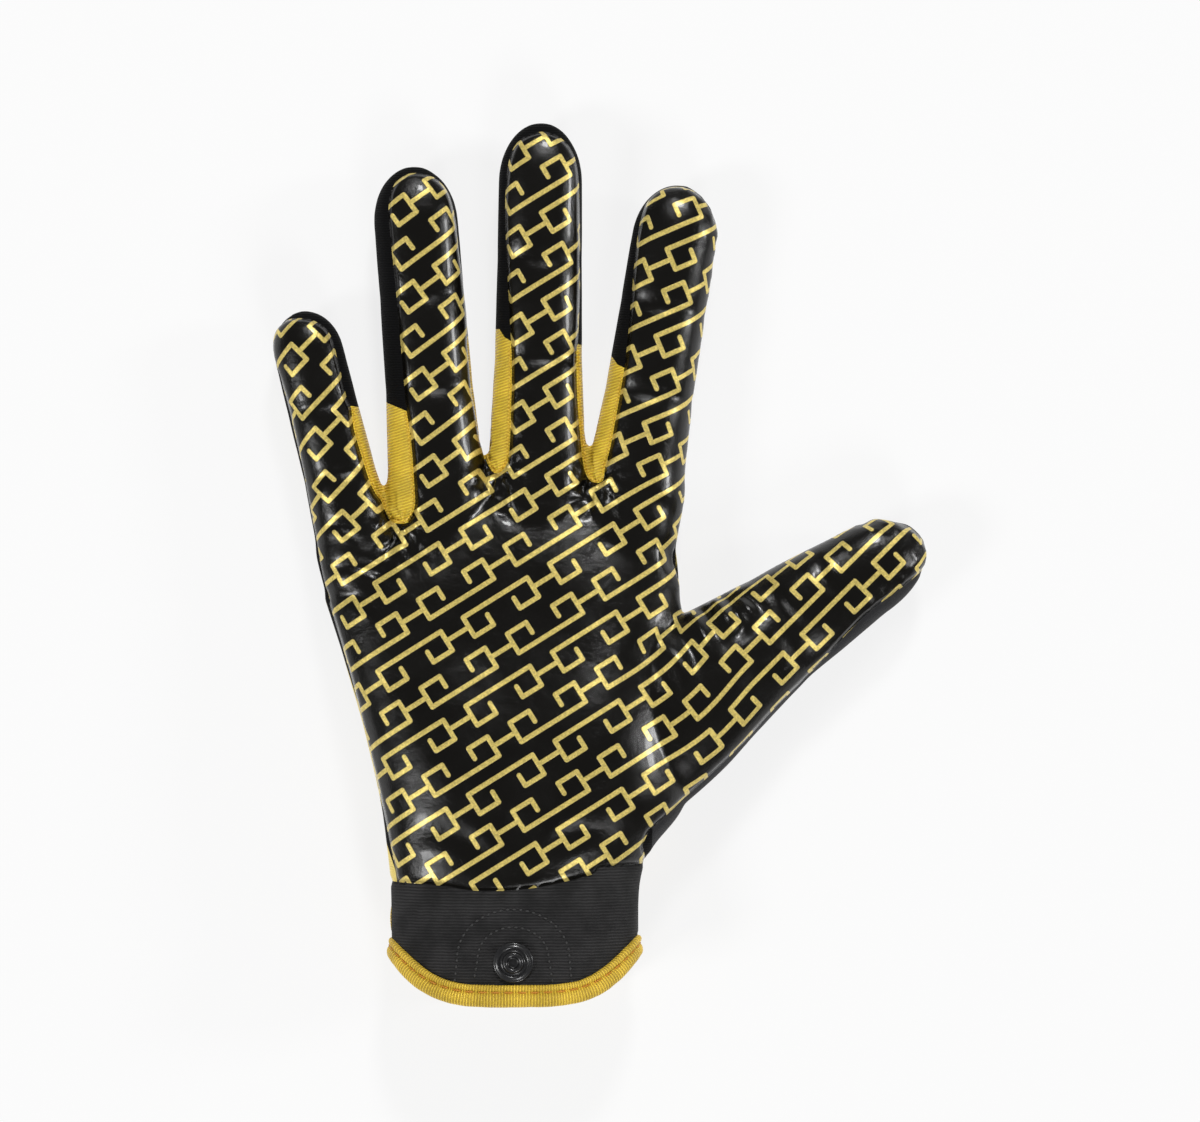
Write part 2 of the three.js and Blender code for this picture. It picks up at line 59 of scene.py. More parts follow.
# The glove's sizes in millimetres, with x from the middle of the wrist and y from the middle of the hem
CUFF_LENGTH = 29.5
PALM_LENGTH = 98.0
PALM_WIDTH = 91.5
HAND_DEPTH = 31.0
FINGER_LENGTH = 86.3
FINGER_WIDTH = 21.0
FINGER_DEPTH = 19.0
THUMB_LENGTH = 76.0
THUMB_WIDTH = 24.0
THUMB_DEPTH = 22.0
THUMB_SPREAD = 34.4
WALL = 1.7
KNUCKLE_BOW = 22.0
HEM_BOW = 11.5
HEM_FLATNESS = 3.8
CUFF_LIFT = 1.8
SQUARENESS = 2.3
HAND_LENGTH = CUFF_LENGTH + PALM_LENGTH
WRIST_HALF_WIDTH = 0.332 * PALM_WIDTH
KNUCKLE_CENTRE = 0.055 * PALM_WIDTH
FINGER_ROOT = HAND_LENGTH + 0.02 * PALM_LENGTH
ORIGIN = np.array([21.08, 107.86, 0.0])
FAR = 300.0

# Radius of the cloth's turn onto the surface and round the sides, and angles of the print in degrees
FLOOR_EASE = 0.35
ROUND_SIDE = 9.0
PRINT_SLOPE = 32.0
THUMB_PRINT_TURN = 13.0

# Slit at the wrist and strap: their sizes and places, and how high they reach up the sides
SLIT_RADIUS = 2.3
SLIT_LENGTH = 7.4
SLIT_LEAN = -22.0
SLIT_PLACE = (28.54, 40.8)
SLIT_BINDING_WIDTH = 3.2
SLIT_DEPTH = 11.0
STRAP_HALF_WIDTH = 14.8
STRAP_PLACE = 20.2
STRAP_END = -15.7
STRAP_ROOT = 30.5
STRAP_BINDING_WIDTH = 4.7
STRAP_DEPTH = 16.1

# Cross sections of the hand: place along the cuff and the palm, reach to the little finger and to the
# thumb, lift off the surface, height of the back and of the palm, bow of the knuckle line
HAND_SECTIONS = [
    (-0.9, 0.0, 0.316, 0.32, 1, 0, 1.0, 0),
    (0.1, 0.0, 0.324, 0.328, 1, 0, 1.02, 0),
    (0.6, 0.0, 0.328, 0.332, 1, 0, 0.99, 0),
    (1.0, 0.0, 0.331, 0.338, 1, 0, 0.96, 0),
    (1.0, 0.08, 0.341, 0.37, 0.9, 0, 0.99, 0),
    (1.0, 0.2, 0.362, 0.46, 0.5, 0, 1.0, 0),
    (1.0, 0.37, 0.402, 0.455, 0, -0.03, 1.0, 0),
    (1.0, 0.55, 0.45, 0.45, 0, -0.045, 0.95, 0.1),
    (1.0, 0.73, 0.495, 0.445, 0, -0.045, 0.86, 0.25),
    (1.0, 0.86, 0.51, 0.44, 0, -0.04, 0.73, 0.55),
    (1.0, 0.95, 0.51, 0.43, 0, 0.0, 0.6, 0.8),
    (1.0, 0.995, 0.5, 0.42, 0, 0.09, 0.49, 1),
    (1.0, 1.01, 0.48, 0.4, 0, 0.2, 0.4, 1),
]

# Mounds and hollow of the palm: place across and along, spread, rise
MOUNDS = [(0.27, 0.34, 0.25, 0.15), (-0.27, 0.28, 0.2, 0.07), (-0.03, 0.62, 0.25, -0.13)]

# Fingers: place across, length, width, lean in degrees, reach of the gold on the little and thumb sides
FINGERS = {
    "index": (0.316, 0.905, 1.0, 9.2, 0.97, 0),
    "middle": (0.061, 1.0, 1.0, 0.7, 1.06, 1.03),
    "ring": (-0.206, 0.948, 1.0, -4.5, 0.88, 1.03),
    "little": (-0.417, 0.71, 0.83, -14.2, 0, 0.85),
}

# Cross sections of a finger: place along it, width, height of its back and of its palm side
FINGER_SECTIONS = [
    (-0.32, 1.16, -0.06, 1.08),
    (0.0, 1.215, -0.06, 1.07),
    (0.1, 1.12, -0.05, 1.04),
    (0.28, 1.045, -0.03, 1.04),
    (0.33, 1.02, -0.03, 0.98),
    (0.38, 1.02, -0.02, 1.02),
    (0.56, 1.0, 0.02, 1.0),
    (0.61, 0.99, 0.03, 0.95),
    (0.66, 0.995, 0.05, 0.99),
    (0.83, 0.985, 0.11, 0.97),
]
FINGER_TIP = (0.83, 0.56, 0.0)

# Cross sections of the thumb: as for a finger, then its swerve. Tips: where they start, their height, swerve
THUMB_SECTIONS = [
    (-0.34, 1.7, 0.12, 1.2, -0.08),
    (0.0, 1.64, 0.08, 1.24, 0.0),
    (0.2, 1.42, 0.08, 1.18, 0.03),
    (0.4, 1.2, 0.1, 1.07, 0.06),
    (0.46, 1.14, 0.11, 1.0, 0.065),
    (0.58, 1.07, 0.12, 1.03, 0.06),
    (0.76, 0.93, 0.16, 0.95, 0.05),
]
THUMB_TIP = (0.76, 0.54, 0.03)
THUMB_ROOT = (0.415, 0.42)

# Seams, as shares: at the side, place along the palm and height; at the wrist, place across and up the cuff;
# beside the thumb's back, place across and along the palm
SIDE_SEAM = [(-1, 0.53), (0.1, 0.52), (0.7, 0.45), (1.0, 0.36), (2.5, 0.34)]
WRIST_SEAM = [(-1.3, 1.03), (-0.33, 1.0), (-0.1, 0.94), (0.05, 0.96), (0.2, 1.06), (0.34, 1.15), (1.3, 1.18)]
THUMB_SEAM = [
    (0.37, -0.4), (0.372, 0.2), (0.402, 0.3), (0.43, 0.52),
    (0.452, 0.68), (0.475, 0.74), (0.56, 0.9), (0.6, 1.3),
]


def catmull(rows, steps):
    """Rows of numbers made finer by a smooth curve through each column."""
    rows = np.array(rows, float)
    padded = np.vstack([2 * rows[0] - rows[1], rows, 2 * rows[-1] - rows[-2]])
    out = []
    for i in range(len(rows) - 1):
        p0, p1, p2, p3 = padded[i:i + 4]
        for t in np.arange(steps) / steps:
            out.append(
                0.5 * (2 * p1 + (p2 - p0) * t + (2 * p0 - 5 * p1 + 4 * p2 - p3) * t * t
                       + (3 * p1 - p0 - 3 * p2 + p3) * t ** 3)
            )
    out.append(rows[-1])
    return np.array(out)


def rounded_square(sides):
    """Unit points round a squarish oval, as columns x and z."""
    angle = 2 * np.pi * np.arange(sides) / sides
    cos, sin = np.cos(angle), np.sin(angle)
    power = 2 / SQUARENESS
    return np.sign(cos) * np.abs(cos) ** power, np.sign(sin) * np.abs(sin) ** power


def knuckle_drop(x):
    """How far the knuckle line lies behind its foremost point, at a place across the palm."""
    return KNUCKLE_BOW * ((x - KNUCKLE_CENTRE) / (PALM_WIDTH / 2)) ** 2


def mound_height(x, y):
    """Rise of the palm's mounds and hollow at each place in plan."""
    rise = np.zeros_like(x)
    for across, along, spread, height in MOUNDS:
        dx = x - across * PALM_WIDTH
        dy = y - CUFF_LENGTH - along * PALM_LENGTH
        rise += height * HAND_DEPTH * np.exp(-(dx * dx + dy * dy) / (spread * PALM_WIDTH) ** 2)
    return rise


def hand_rings(grow, sides=112, steps=7):
    """Rings of the hand from cuff to knuckles, as an array of rings, points and coordinates."""
    unit_x, unit_z = rounded_square(sides)
    rings = []
    for cuff, palm, little, thumb, lift, floor, crest, bow in catmull(HAND_SECTIONS, steps):
        left, right = -little * PALM_WIDTH - grow, thumb * PALM_WIDTH + grow
        low = lift * CUFF_LIFT + floor * HAND_DEPTH - grow
        high = lift * CUFF_LIFT + crest * HAND_DEPTH + grow
        x = (left + right) / 2 + unit_x * (right - left) / 2
        y = cuff * CUFF_LENGTH + palm * PALM_LENGTH + bow * (grow - knuckle_drop(x))
        z = (low + high) / 2 + unit_z * (high - low) / 2
        rings.append(np.stack([x, y, z + np.maximum(unit_z, 0) * mound_height(x, y)], 1))
    return np.array(rings)


def finger_frame(name):
    """Root, heading in radians, length, width and depth of a finger or of the thumb."""
    if name == "thumb":
        root = np.array([THUMB_ROOT[0] * PALM_WIDTH, CUFF_LENGTH + THUMB_ROOT[1] * PALM_LENGTH])
        return root, math.radians(THUMB_SPREAD), THUMB_LENGTH, THUMB_WIDTH, THUMB_DEPTH
    across, length, width, lean = FINGERS[name][:4]
    x = across * PALM_WIDTH
    root = np.array([x, FINGER_ROOT - knuckle_drop(x)])
    return root, math.radians(90 - lean), length * FINGER_LENGTH, width * FINGER_WIDTH, FINGER_DEPTH


def directions(heading):
    """Unit vectors in plan along a heading and square to it, towards its right."""
    ahead = np.array([math.cos(heading), math.sin(heading)])
    return ahead, np.array([ahead[1], -ahead[0]])


def digit_rings(name, grow, sides=56, steps=6, tip_steps=12):
    """Rings of a finger or of the thumb, from its root to its rounded tip."""
    root, heading, length, width, depth = finger_frame(name)
    sections = THUMB_SECTIONS if name == "thumb" else [row + (0.0,) for row in FINGER_SECTIONS]
    start, centre_height, swerve = THUMB_TIP if name == "thumb" else FINGER_TIP
    rows = [(*row, 1.0) for row in catmull(sections, steps)]
    _, last_width, last_floor, last_crest, last_swerve, _ = rows[-1]
    for step in range(1, tip_steps + 1):
        angle = 0.495 * math.pi * step / tip_steps
        size, sweep = math.cos(angle), math.sin(angle)
        rows.append((
            start + (1 - start) * sweep,
            last_width * size,
            centre_height + (last_floor - centre_height) * size,
            centre_height + (last_crest - centre_height) * size,
            last_swerve + (swerve - last_swerve) * sweep,
            size,
        ))
    unit_x, unit_z = rounded_square(sides)
    ahead, across = directions(heading)
    rings = []
    for along, wide, floor, crest, turn, share in rows:
        half = wide * width / 2 + grow * share
        low, high = floor * depth - grow * share, crest * depth + grow * share
        place = along * length + grow * math.sqrt(max(1 - share * share, 0))
        centre = root + ahead * place - across * turn * width
        plan = centre + np.outer(unit_x * half, across)
        rings.append(np.column_stack([plan, (low + high) / 2 + unit_z * (high - low) / 2]))
    return np.array(rings)


def seam_height(y):
    """Height of the seam between palm and back."""
    along = np.array([row[0] for row in SIDE_SEAM]) * PALM_LENGTH + CUFF_LENGTH
    return np.interp(y, along, np.array([row[1] for row in SIDE_SEAM]) * HAND_DEPTH)


def wrist_line(x):
    """Place of the seam between palm and cuff."""
    rows = catmull(WRIST_SEAM, 8)
    return np.interp(x, rows[:, 0] * PALM_WIDTH, rows[:, 1] * CUFF_LENGTH)


def thumb_line(y):
    """Place across of the seam between the back and the thumb's back."""
    rows = catmull(THUMB_SEAM, 8)
    return np.interp(y, CUFF_LENGTH + rows[:, 1] * PALM_LENGTH, rows[:, 0] * PALM_WIDTH)


def deselect():
    """Leaves edit mode and selects nothing."""
    if bpy.context.mode != "OBJECT":
        bpy.ops.object.mode_set(mode="OBJECT")
    bpy.ops.object.select_all(action="DESELECT")


def choose(obj):
    """Makes an object the only selected one and the active one."""
    deselect()
    obj.hide_set(False)
    obj.select_set(True)
    bpy.context.view_layer.objects.active = obj
    return obj


def new_object(name, points, faces):
    """A mesh object from points in the glove's millimetres."""
    data = bpy.data.meshes.new(name)
    data.from_pydata(((np.asarray(points, float) - ORIGIN) * MM).tolist(), [], faces)
    data.update()
    obj = bpy.data.objects.new(name, data)
    bpy.context.scene.collection.objects.link(obj)
    return choose(obj)


def face_outwards(obj):
    """Turns the faces of a closed mesh outwards."""
    choose(obj)
    bpy.ops.object.mode_set(mode="EDIT")
    bpy.ops.mesh.select_all(action="SELECT")
    bpy.ops.mesh.normals_make_consistent(inside=False)
    bpy.ops.object.mode_set(mode="OBJECT")
    return obj


def tube_faces(count, sides, start=0):
    """Faces between rings of points that follow one another in a list."""
    faces = []
    for low in range(start, start + (count - 1) * sides, sides):
        for side in range(sides):
            after = (side + 1) % sides
            faces.append((low + side, low + sides + side, low + sides + after, low + after))
    return faces


def loft(name, rings):
    """A tube through the rings, with a fan over each end."""
    count, sides = rings.shape[:2]
    points = np.vstack([rings.reshape(-1, 3), rings[0].mean(0), rings[-1].mean(0)])
    faces = tube_faces(count, sides)
    first, last, end = count * sides, count * sides + 1, (count - 1) * sides
    for side in range(sides):
        after = (side + 1) % sides
        faces.append((first, side, after))
        faces.append((last, end + after, end + side))
    return face_outwards(new_object(name, points, faces))


def apply(obj, kind, **settings):
    """Adds a modifier, sets it and applies it."""
    choose(obj)
    modifier = obj.modifiers.new(kind, kind)
    for key, value in settings.items():
        setattr(modifier, key, value)
    bpy.ops.object.modifier_apply(modifier=modifier.name)
    return obj


def boolean(obj, cutter, operation, keep=False):
    """Cuts or joins a mesh with a cutter, which is removed afterwards where it isn't kept."""
    apply(obj, "BOOLEAN", object=cutter, operation=operation, solver="MANIFOLD")
    if not keep:
        bpy.data.objects.remove(cutter)
    return obj


def duplicate(obj, name):
    """A copy of an object with a mesh of its own."""
    twin = obj.copy()
    twin.data = obj.data.copy()
    twin.name = name
    bpy.context.scene.collection.objects.link(twin)
    return twin


def prism(outline, low=-FAR, high=FAR):
    """A flat outline in plan raised between two heights."""
    outline = np.asarray(outline, float)
    area = np.sum(outline[:, 0] * np.roll(outline[:, 1], -1) - np.roll(outline[:, 0], -1) * outline[:, 1])
    if area < 0:
        outline = outline[::-1]
    count = len(outline)
    points = np.vstack([np.column_stack([outline, np.full(count, z)]) for z in (low, high)])
    faces = [tuple(range(count))[::-1], tuple(range(count, 2 * count))]
    faces += [(i, (i + 1) % count, count + (i + 1) % count, count + i) for i in range(count)]
    return apply(new_object("cutter", points, faces), "TRIANGULATE")


def side_prism(outline):
    """An outline in y and z carried right across the glove."""
    obj = prism(outline)
    points, _ = mesh_arrays(obj)
    set_points(obj, np.roll(points, 1, axis=1))
    return obj


# Edge of the printed palm between and round the fingers, from the little finger's side to the index's
PRINT_EDGE = [
    (-28.4, 20.0), (-28.6, 30.0), (-31.1, 42.8), (-34.2, 56.6), (-36.7, 66.1), (-39.5, 77.8),
    (-43.2, 90.5), (-47.0, 103.2), (-49.2, 114.8), (-51.2, 125.0), (-53.1, 135.2),
    (-56.2, 148.5), (-59.3, 157.8), (-59.4, 163.6),
    (-56.9, 166.6), (-53.6, 167.5), (-49.0, 166.8), (-45.2, 163.6), (-43.2, 156.8), (-41.2, 148.4),
    (-40.0, 145.2), (-39.4, 140.6), (-37.6, 134.2), (-35.6, 127.8), (-33.9, 124.2), (-32.7, 122.6),
    (-31.2, 119.2), (-29.8, 117.4), (-27.2, 117.0), (-25.4, 118.0), (-24.2, 121.8), (-24.5, 128.1),
    (-25.2, 137.5), (-26.5, 146.1), (-27.1, 153.1), (-28.1, 164.9), (-29.2, 176.6), (-30.4, 188.3),
    (-30.8, 194.5), (-30.0, 199.2), (-27.7, 202.2), (-24.2, 203.2), (-19.9, 202.2), (-16.7, 199.2),
    (-15.0, 194.5), (-13.7, 186.7), (-12.3, 176.6), (-11.4, 168.8), (-11.2, 162.6), (-11.3, 161.0),
    (-10.3, 150.0), (-9.1, 143.0), (-8.1, 137.5), (-7.0, 132.9), (-5.4, 129.9), (-3.7, 129.5),
    (-1.9, 131.3), (-1.1, 135.2), (-0.7, 145.3), (-0.5, 154.7), (-0.7, 161.0), (-1.1, 168.8),
    (-1.7, 179.7), (-2.2, 192.2), (-2.0, 200.0), (-1.2, 206.4), (0.7, 210.6), (4.4, 212.8),
    (7.8, 213.2), (11.4, 211.8), (14.2, 208.6), (15.7, 203.1), (16.1, 192.2), (16.2, 176.6),
    (15.7, 162.5), (15.3, 159.4), (15.4, 150.0), (15.9, 142.2), (16.5, 135.2), (17.2, 130.5),
    (18.4, 127.8), (20.4, 127.0), (21.9, 127.8), (22.4, 131.3), (23.5, 135.2), (24.7, 141.4),
    (26.1, 149.3), (27.1, 155.5), (27.8, 161.7), (28.6, 170.3), (29.4, 179.7), (30.2, 186.7),
    (31.4, 193.0), (33.3, 197.3), (36.5, 199.5), (40.3, 200.0), (44.2, 198.9), (47.4, 196.1),
    (49.4, 192.2), (51.5, 186.0), (54.0, 176.0), (58.0, 150.0), (72.0, 122.0), (84.0, 119.5),
    (92.3, 117.8), (97.4, 116.0), (100.9, 112.0), (101.2, 107.0), (96.6, 102.5), (85.5, 94.1),
    (73.8, 81.5), (64.2, 72.1), (56.6, 63.7), (48.0, 55.4), (37.4, 45.9), (31.4, 38.5), (30.6, 20.0),
]

# Gold side walls in plan, between two neighbouring fingers
GOLD_SPACES = {
    "ring_little": [
        (-38.0, 104.0), (-19.0, 104.0), (-24.5, 143.8), (-31.0, 146.6), (-33.5, 148.6), (-36.5, 145.6),
        (-46.5, 146.5), (-41.0, 118.0),
    ],
    "middle_ring": [
        (-17.0, 112.0), (3.0, 112.0), (3.5, 160.6), (-0.5, 161.6), (-2.4, 162.8), (-3.6, 164.8),
        (-6.0, 165.0), (-8.0, 163.0), (-20.0, 163.6), (-19.0, 130.0),
    ],
    "index_middle": [
        (8.0, 112.0), (30.0, 112.0), (33.0, 150.0), (27.6, 155.0), (25.4, 156.0), (23.8, 158.4),
        (23.2, 160.4), (20.0, 161.0), (8.0, 161.2),
    ],
}
GOLD_FLOOR = 6.1

# Where the printed leather rolls over the thumb's tip, in plan, and from what height
THUMB_TIP_SPACE = [(60, 90), (120, 80), (120, 130), (60, 130)]
THUMB_TIP_FLOOR = 9.4

# The leather is puckered along its edge beyond this place, on the index finger and the thumb
PUCKER_PLACE = (34.0, 96.0)

# Creases of the leather: two ends in plan, half width and depth
CREASES = [
    (42.0, 99.5, 50.0, 88.0, 1.5, 0.9), (48.5, 101.0, 56.5, 90.0, 1.4, 0.8),
    (36.5, 92.0, 45.5, 81.0, 1.9, 0.8), (50.0, 83.5, 62.0, 94.5, 1.8, 0.55),
    (30.5, 84.5, 40.0, 71.5, 2.2, 0.5), (56.0, 76.0, 67.0, 84.5, 1.8, 0.5),
    (53.0, 99.5, 61.0, 95.0, 1.2, 0.6), (40.5, 104.5, 38.0, 112.0, 1.5, 0.55),
    (-44.0, 106.5, -30.0, 103.5, 1.3, 0.6), (-47.0, 99.5, -33.0, 95.5, 1.3, 0.32),
    (-46.0, 117.0, -36.0, 113.0, 1.2, 0.45), (-23.0, 114.0, -8.0, 122.0, 1.7, 0.22),
    (2.0, 122.5, 16.0, 121.0, 1.6, 0.26), (-12.0, 118.5, 6.0, 116.0, 1.8, 0.16),
    (-22.0, 42.0, -6.0, 36.0, 2.4, 0.4), (-12.0, 47.0, 4.0, 39.0, 2.4, 0.28),
    (8.0, 37.5, 22.0, 42.5, 2.2, 0.5), (18.0, 47.0, 30.0, 55.0, 2.6, 0.35),
    (28.0, 123.0, 40.0, 118.5, 1.6, 0.22), (24.0, 113.0, 40.0, 108.0, 1.8, 0.16),
    (70.0, 92.0, 64.0, 100.5, 1.3, 0.4), (80.0, 99.5, 74.5, 107.5, 1.3, 0.35),
]


def line_gap(points, a, b):
    """Distance in plan from each point to a line between two places, and the share of it that is nearest."""
    line = b - a
    share = np.clip(((points - a) @ line) / (line @ line), 0, 1)
    return np.hypot(*(points - a - share[:, None] * line).T), share


def outline_distance(points, outline):
    """Distance in plan to a closed outline, positive inside it."""
    outline = np.asarray(outline, float)
    best = np.full(len(points), 1e9)
    inside = np.zeros(len(points), bool)
    for a, b in zip(outline, np.roll(outline, -1, axis=0)):
        best = np.minimum(best, line_gap(points, a, b)[0])
        crosses = (a[1] > points[:, 1]) != (b[1] > points[:, 1])
        if a[1] != b[1]:
            slope = (b[0] - a[0]) / (b[1] - a[1])
            inside ^= crosses & (points[:, 0] < a[0] + (points[:, 1] - a[1]) * slope)
    return np.where(inside, best, -best)


def mesh_arrays(obj):
    """Points in the glove's millimetres, and vertex normals."""
    count = len(obj.data.vertices)
    points, normals = np.empty(count * 3), np.empty(count * 3)
    obj.data.vertices.foreach_get("co", points)
    obj.data.vertex_normals.foreach_get("vector", normals)
    return points.reshape(-1, 3) / MM + ORIGIN, normals.reshape(-1, 3)


def set_points(obj, points):
    """Moves the points of a mesh to places in the glove's millimetres."""
    obj.data.vertices.foreach_set("co", ((points - ORIGIN) * MM).ravel())
    obj.data.update()


def keep_above(obj, height):
    """Lifts every point of a mesh that lies below a height."""
    points, _ = mesh_arrays(obj)
    points[:, 2] = np.maximum(points[:, 2], height)
    set_points(obj, points)


def unit(vectors):
    """Rows of vectors, each made one unit long."""
    return vectors / np.linalg.norm(vectors, axis=1)[:, None]


def run_along(path):
    """Length run along a path at each of its points."""
    return np.concatenate([[0], np.cumsum(np.linalg.norm(np.diff(path, axis=0), axis=1))])


def noise_at(points, scale):
    """Smooth noise at each point, from about -1 to 1."""
    return np.array([noise.noise(Vector(p)) for p in points / scale])


def smooth_step(value, low, high):
    """Rises smoothly from 0 at low to 1 at high."""
    share = np.clip((value - low) / (high - low), 0, 1)
    return share * share * (3 - 2 * share)


def bump_line(distance, width):
    """A soft bump, 1 at no distance."""
    return np.exp(-(distance / width) ** 2)


PRINT_OUTLINE = catmull(PRINT_EDGE + PRINT_EDGE[:1], 3)[:-1]


def relief(points, normals):
    """How far the cloth stands out or sinks in at each point of the outer face, in millimetres."""
    x, y, z = points.T
    plan = points[:, :2]
    edge = outline_distance(plan, PRINT_OUTLINE)
    above = z - seam_height(y)
    inside = np.minimum(edge, above)
    hand = y > wrist_line(x)
    rise = np.where(hand, 0.5 * smooth_step(inside, -0.1, 1.1), 0)
    rise -= np.where(hand, 0.4 * bump_line(inside + 0.35, 0.7), 0)
    rise -= 0.5 * bump_line(y - wrist_line(x), 0.9)
    near = hand & (x > PUCKER_PLACE[0]) & (y > PUCKER_PLACE[1]) & (edge > -1.5) & (edge < 6)
    fold = noise_at(points[near] + 11, 2.7)
    rise[near] += 0.55 * fold * bump_line(edge[near] - 1.6, 2.4) * smooth_step(x[near], 36.0, 43.0)
    palm_side = smooth_step(normals[:, 2], 0.1, 0.5)
    for ax, ay, bx, by, width, depth in CREASES:
        start, line = np.array([ax, ay]), np.array([bx - ax, by - ay])
        _, share = line_gap(plan, start, start + line)
        bend = 0.12 * np.sin(np.pi * share)[:, None] * (-line[1], line[0])
        away = np.hypot(*(plan - start - share[:, None] * line - bend).T)
        fade = np.sin(np.pi * (0.08 + 0.84 * share))
        shape = bump_line(away, width) - 0.55 * bump_line(away - 2.1 * width, width)
        rise -= depth * shape * fade * palm_side
    return rise


# Ends of the gold side walls, where the cloth is gathered
GATHERS = [(-27.6, 117.2), (-3.9, 129.4), (20.3, 127.2)]


def crumple(points):
    """Small gathered folds that fan out where the side walls end on the palm."""
    rise = np.zeros(len(points))
    for x, y in GATHERS:
        gap = points[:, :2] - (x, y)
        away = np.hypot(gap[:, 0], gap[:, 1] * 0.6)
        near = (away < 11.0) & (points[:, 2] > 7)
        stray = noise_at(points[near] + 7, 3.2)
        fold = np.cos(8.0 * np.arctan2(gap[near, 1], gap[near, 0]) + 3.5 * stray)
        rise[near] += (0.42 * fold - 0.3 * np.abs(stray)) * bump_line(away[near] - 2.5, 4.2)
    return rise


def soft_floor(z):
    """Heights kept above the surface, with a soft turn where the cloth meets it."""
    return np.maximum(0.5 * (z + np.sqrt(z * z + FLOOR_EASE ** 2)) - 0.4 * FLOOR_EASE, 0.0)


def soften(obj, voxel, smooth):
    """Gives a mesh an even skin of small faces and smooths it."""
    apply(obj, "REMESH", mode="VOXEL", voxel_size=voxel * MM, adaptivity=0.0)
    return apply(obj, "SMOOTH", factor=0.5, iterations=smooth)


def glove_form(name, grow, voxel, smooth):
    """The outer or inner face as one closed skin, from the size of its faces and the rounds of smoothing."""
    parts = [loft(name, hand_rings(grow))]
    parts += [loft(name + digit, digit_rings(digit, grow)) for digit in (*FINGERS, "thumb")]
    deselect()
    for part in parts:
        part.select_set(True)
    bpy.context.view_layer.objects.active = parts[0]
    bpy.ops.object.join()
    form = bpy.context.view_layer.objects.active
    form.name = name
    return soften(form, voxel, smooth)


def build_shell():
    """The cloth of the whole glove as one closed wall, open at the hem."""
    outer = glove_form("shell", 0.0, 0.75, 14)
    points, normals = mesh_arrays(outer)
    ripple = 0.07 * noise_at(points, 16.0) + 0.03 * noise_at(points + 50, 5.0) + crumple(points)
    points += normals * (relief(points, normals) + ripple)[:, None]
    points[:, 2] = soft_floor(points[:, 2])
    set_points(outer, points)
    inner = glove_form("hollow", -WALL, 1.3, 6)
    keep_above(inner, WALL)
    return boolean(outer, inner, "DIFFERENCE")


def above_seam():
    """Everything on the palm side of the side seam."""
    line = [(CUFF_LENGTH + along * PALM_LENGTH, height * HAND_DEPTH) for along, height in SIDE_SEAM]
    return side_prism([(line[0][0], FAR), *line, (line[-1][0], FAR)][::-1])


def beyond_wrist():
    """Everything beyond the wrist seam, towards the fingers."""
    x = np.linspace(-100, 110, 121)
    line = list(zip(x, wrist_line(x)))
    return prism([*line, (110, FAR), (-100, FAR)])


def hem_line(x):
    """Place of the hem's edge."""
    return HEM_BOW * np.abs(x / WRIST_HALF_WIDTH) ** HEM_FLATNESS


def beyond_hem(offset):
    """Everything beyond the curved hem."""
    x = np.linspace(-1.25, 1.25, 61) * WRIST_HALF_WIDTH
    line = list(zip(x, hem_line(x) + offset))
    return prism([*line, (FAR, line[-1][1]), (FAR, FAR), (-FAR, FAR), (-FAR, line[0][1])])


def beside_thumb():
    """Everything on the thumb's side of the seam down the back."""
    y = np.linspace(-12, 157, 90)
    line = list(zip(thumb_line(y), y))
    return prism([*line, (FAR, y[-1]), (FAR, y[0])])


def arc(radius, start, end, steps, middle_x=0.0, middle_y=0.0, flatness=1.0):
    """Points in plan on an arc between two angles in degrees, with its height made flatter by a share."""
    angle = np.radians(np.linspace(start, end, steps))
    return np.column_stack([middle_x + radius * np.cos(angle), middle_y + flatness * radius * np.sin(angle)])


def slit_outline(grow):
    """Teardrop of the wrist slit, made larger all round."""
    radius = SLIT_RADIUS + grow
    points = np.vstack([arc(radius, 180, 360, 15), arc(0.8 * radius, 0, 180, 15, 0.0, SLIT_LENGTH)])
    ahead, aside = directions(math.radians(90.0 + SLIT_LEAN))
    return SLIT_PLACE + points[:, :1] * aside + points[:, 1:] * ahead


def strap_outline(inset, root_reach):
    """Outline of the strap, with its round free end on the little finger's side."""
    radius, root = STRAP_HALF_WIDTH - inset, STRAP_ROOT + root_reach
    free = arc(radius, 90, 270, 33, STRAP_END, STRAP_PLACE)
    return np.vstack([[(root, STRAP_PLACE + radius)], free, [(root, STRAP_PLACE - radius)]])


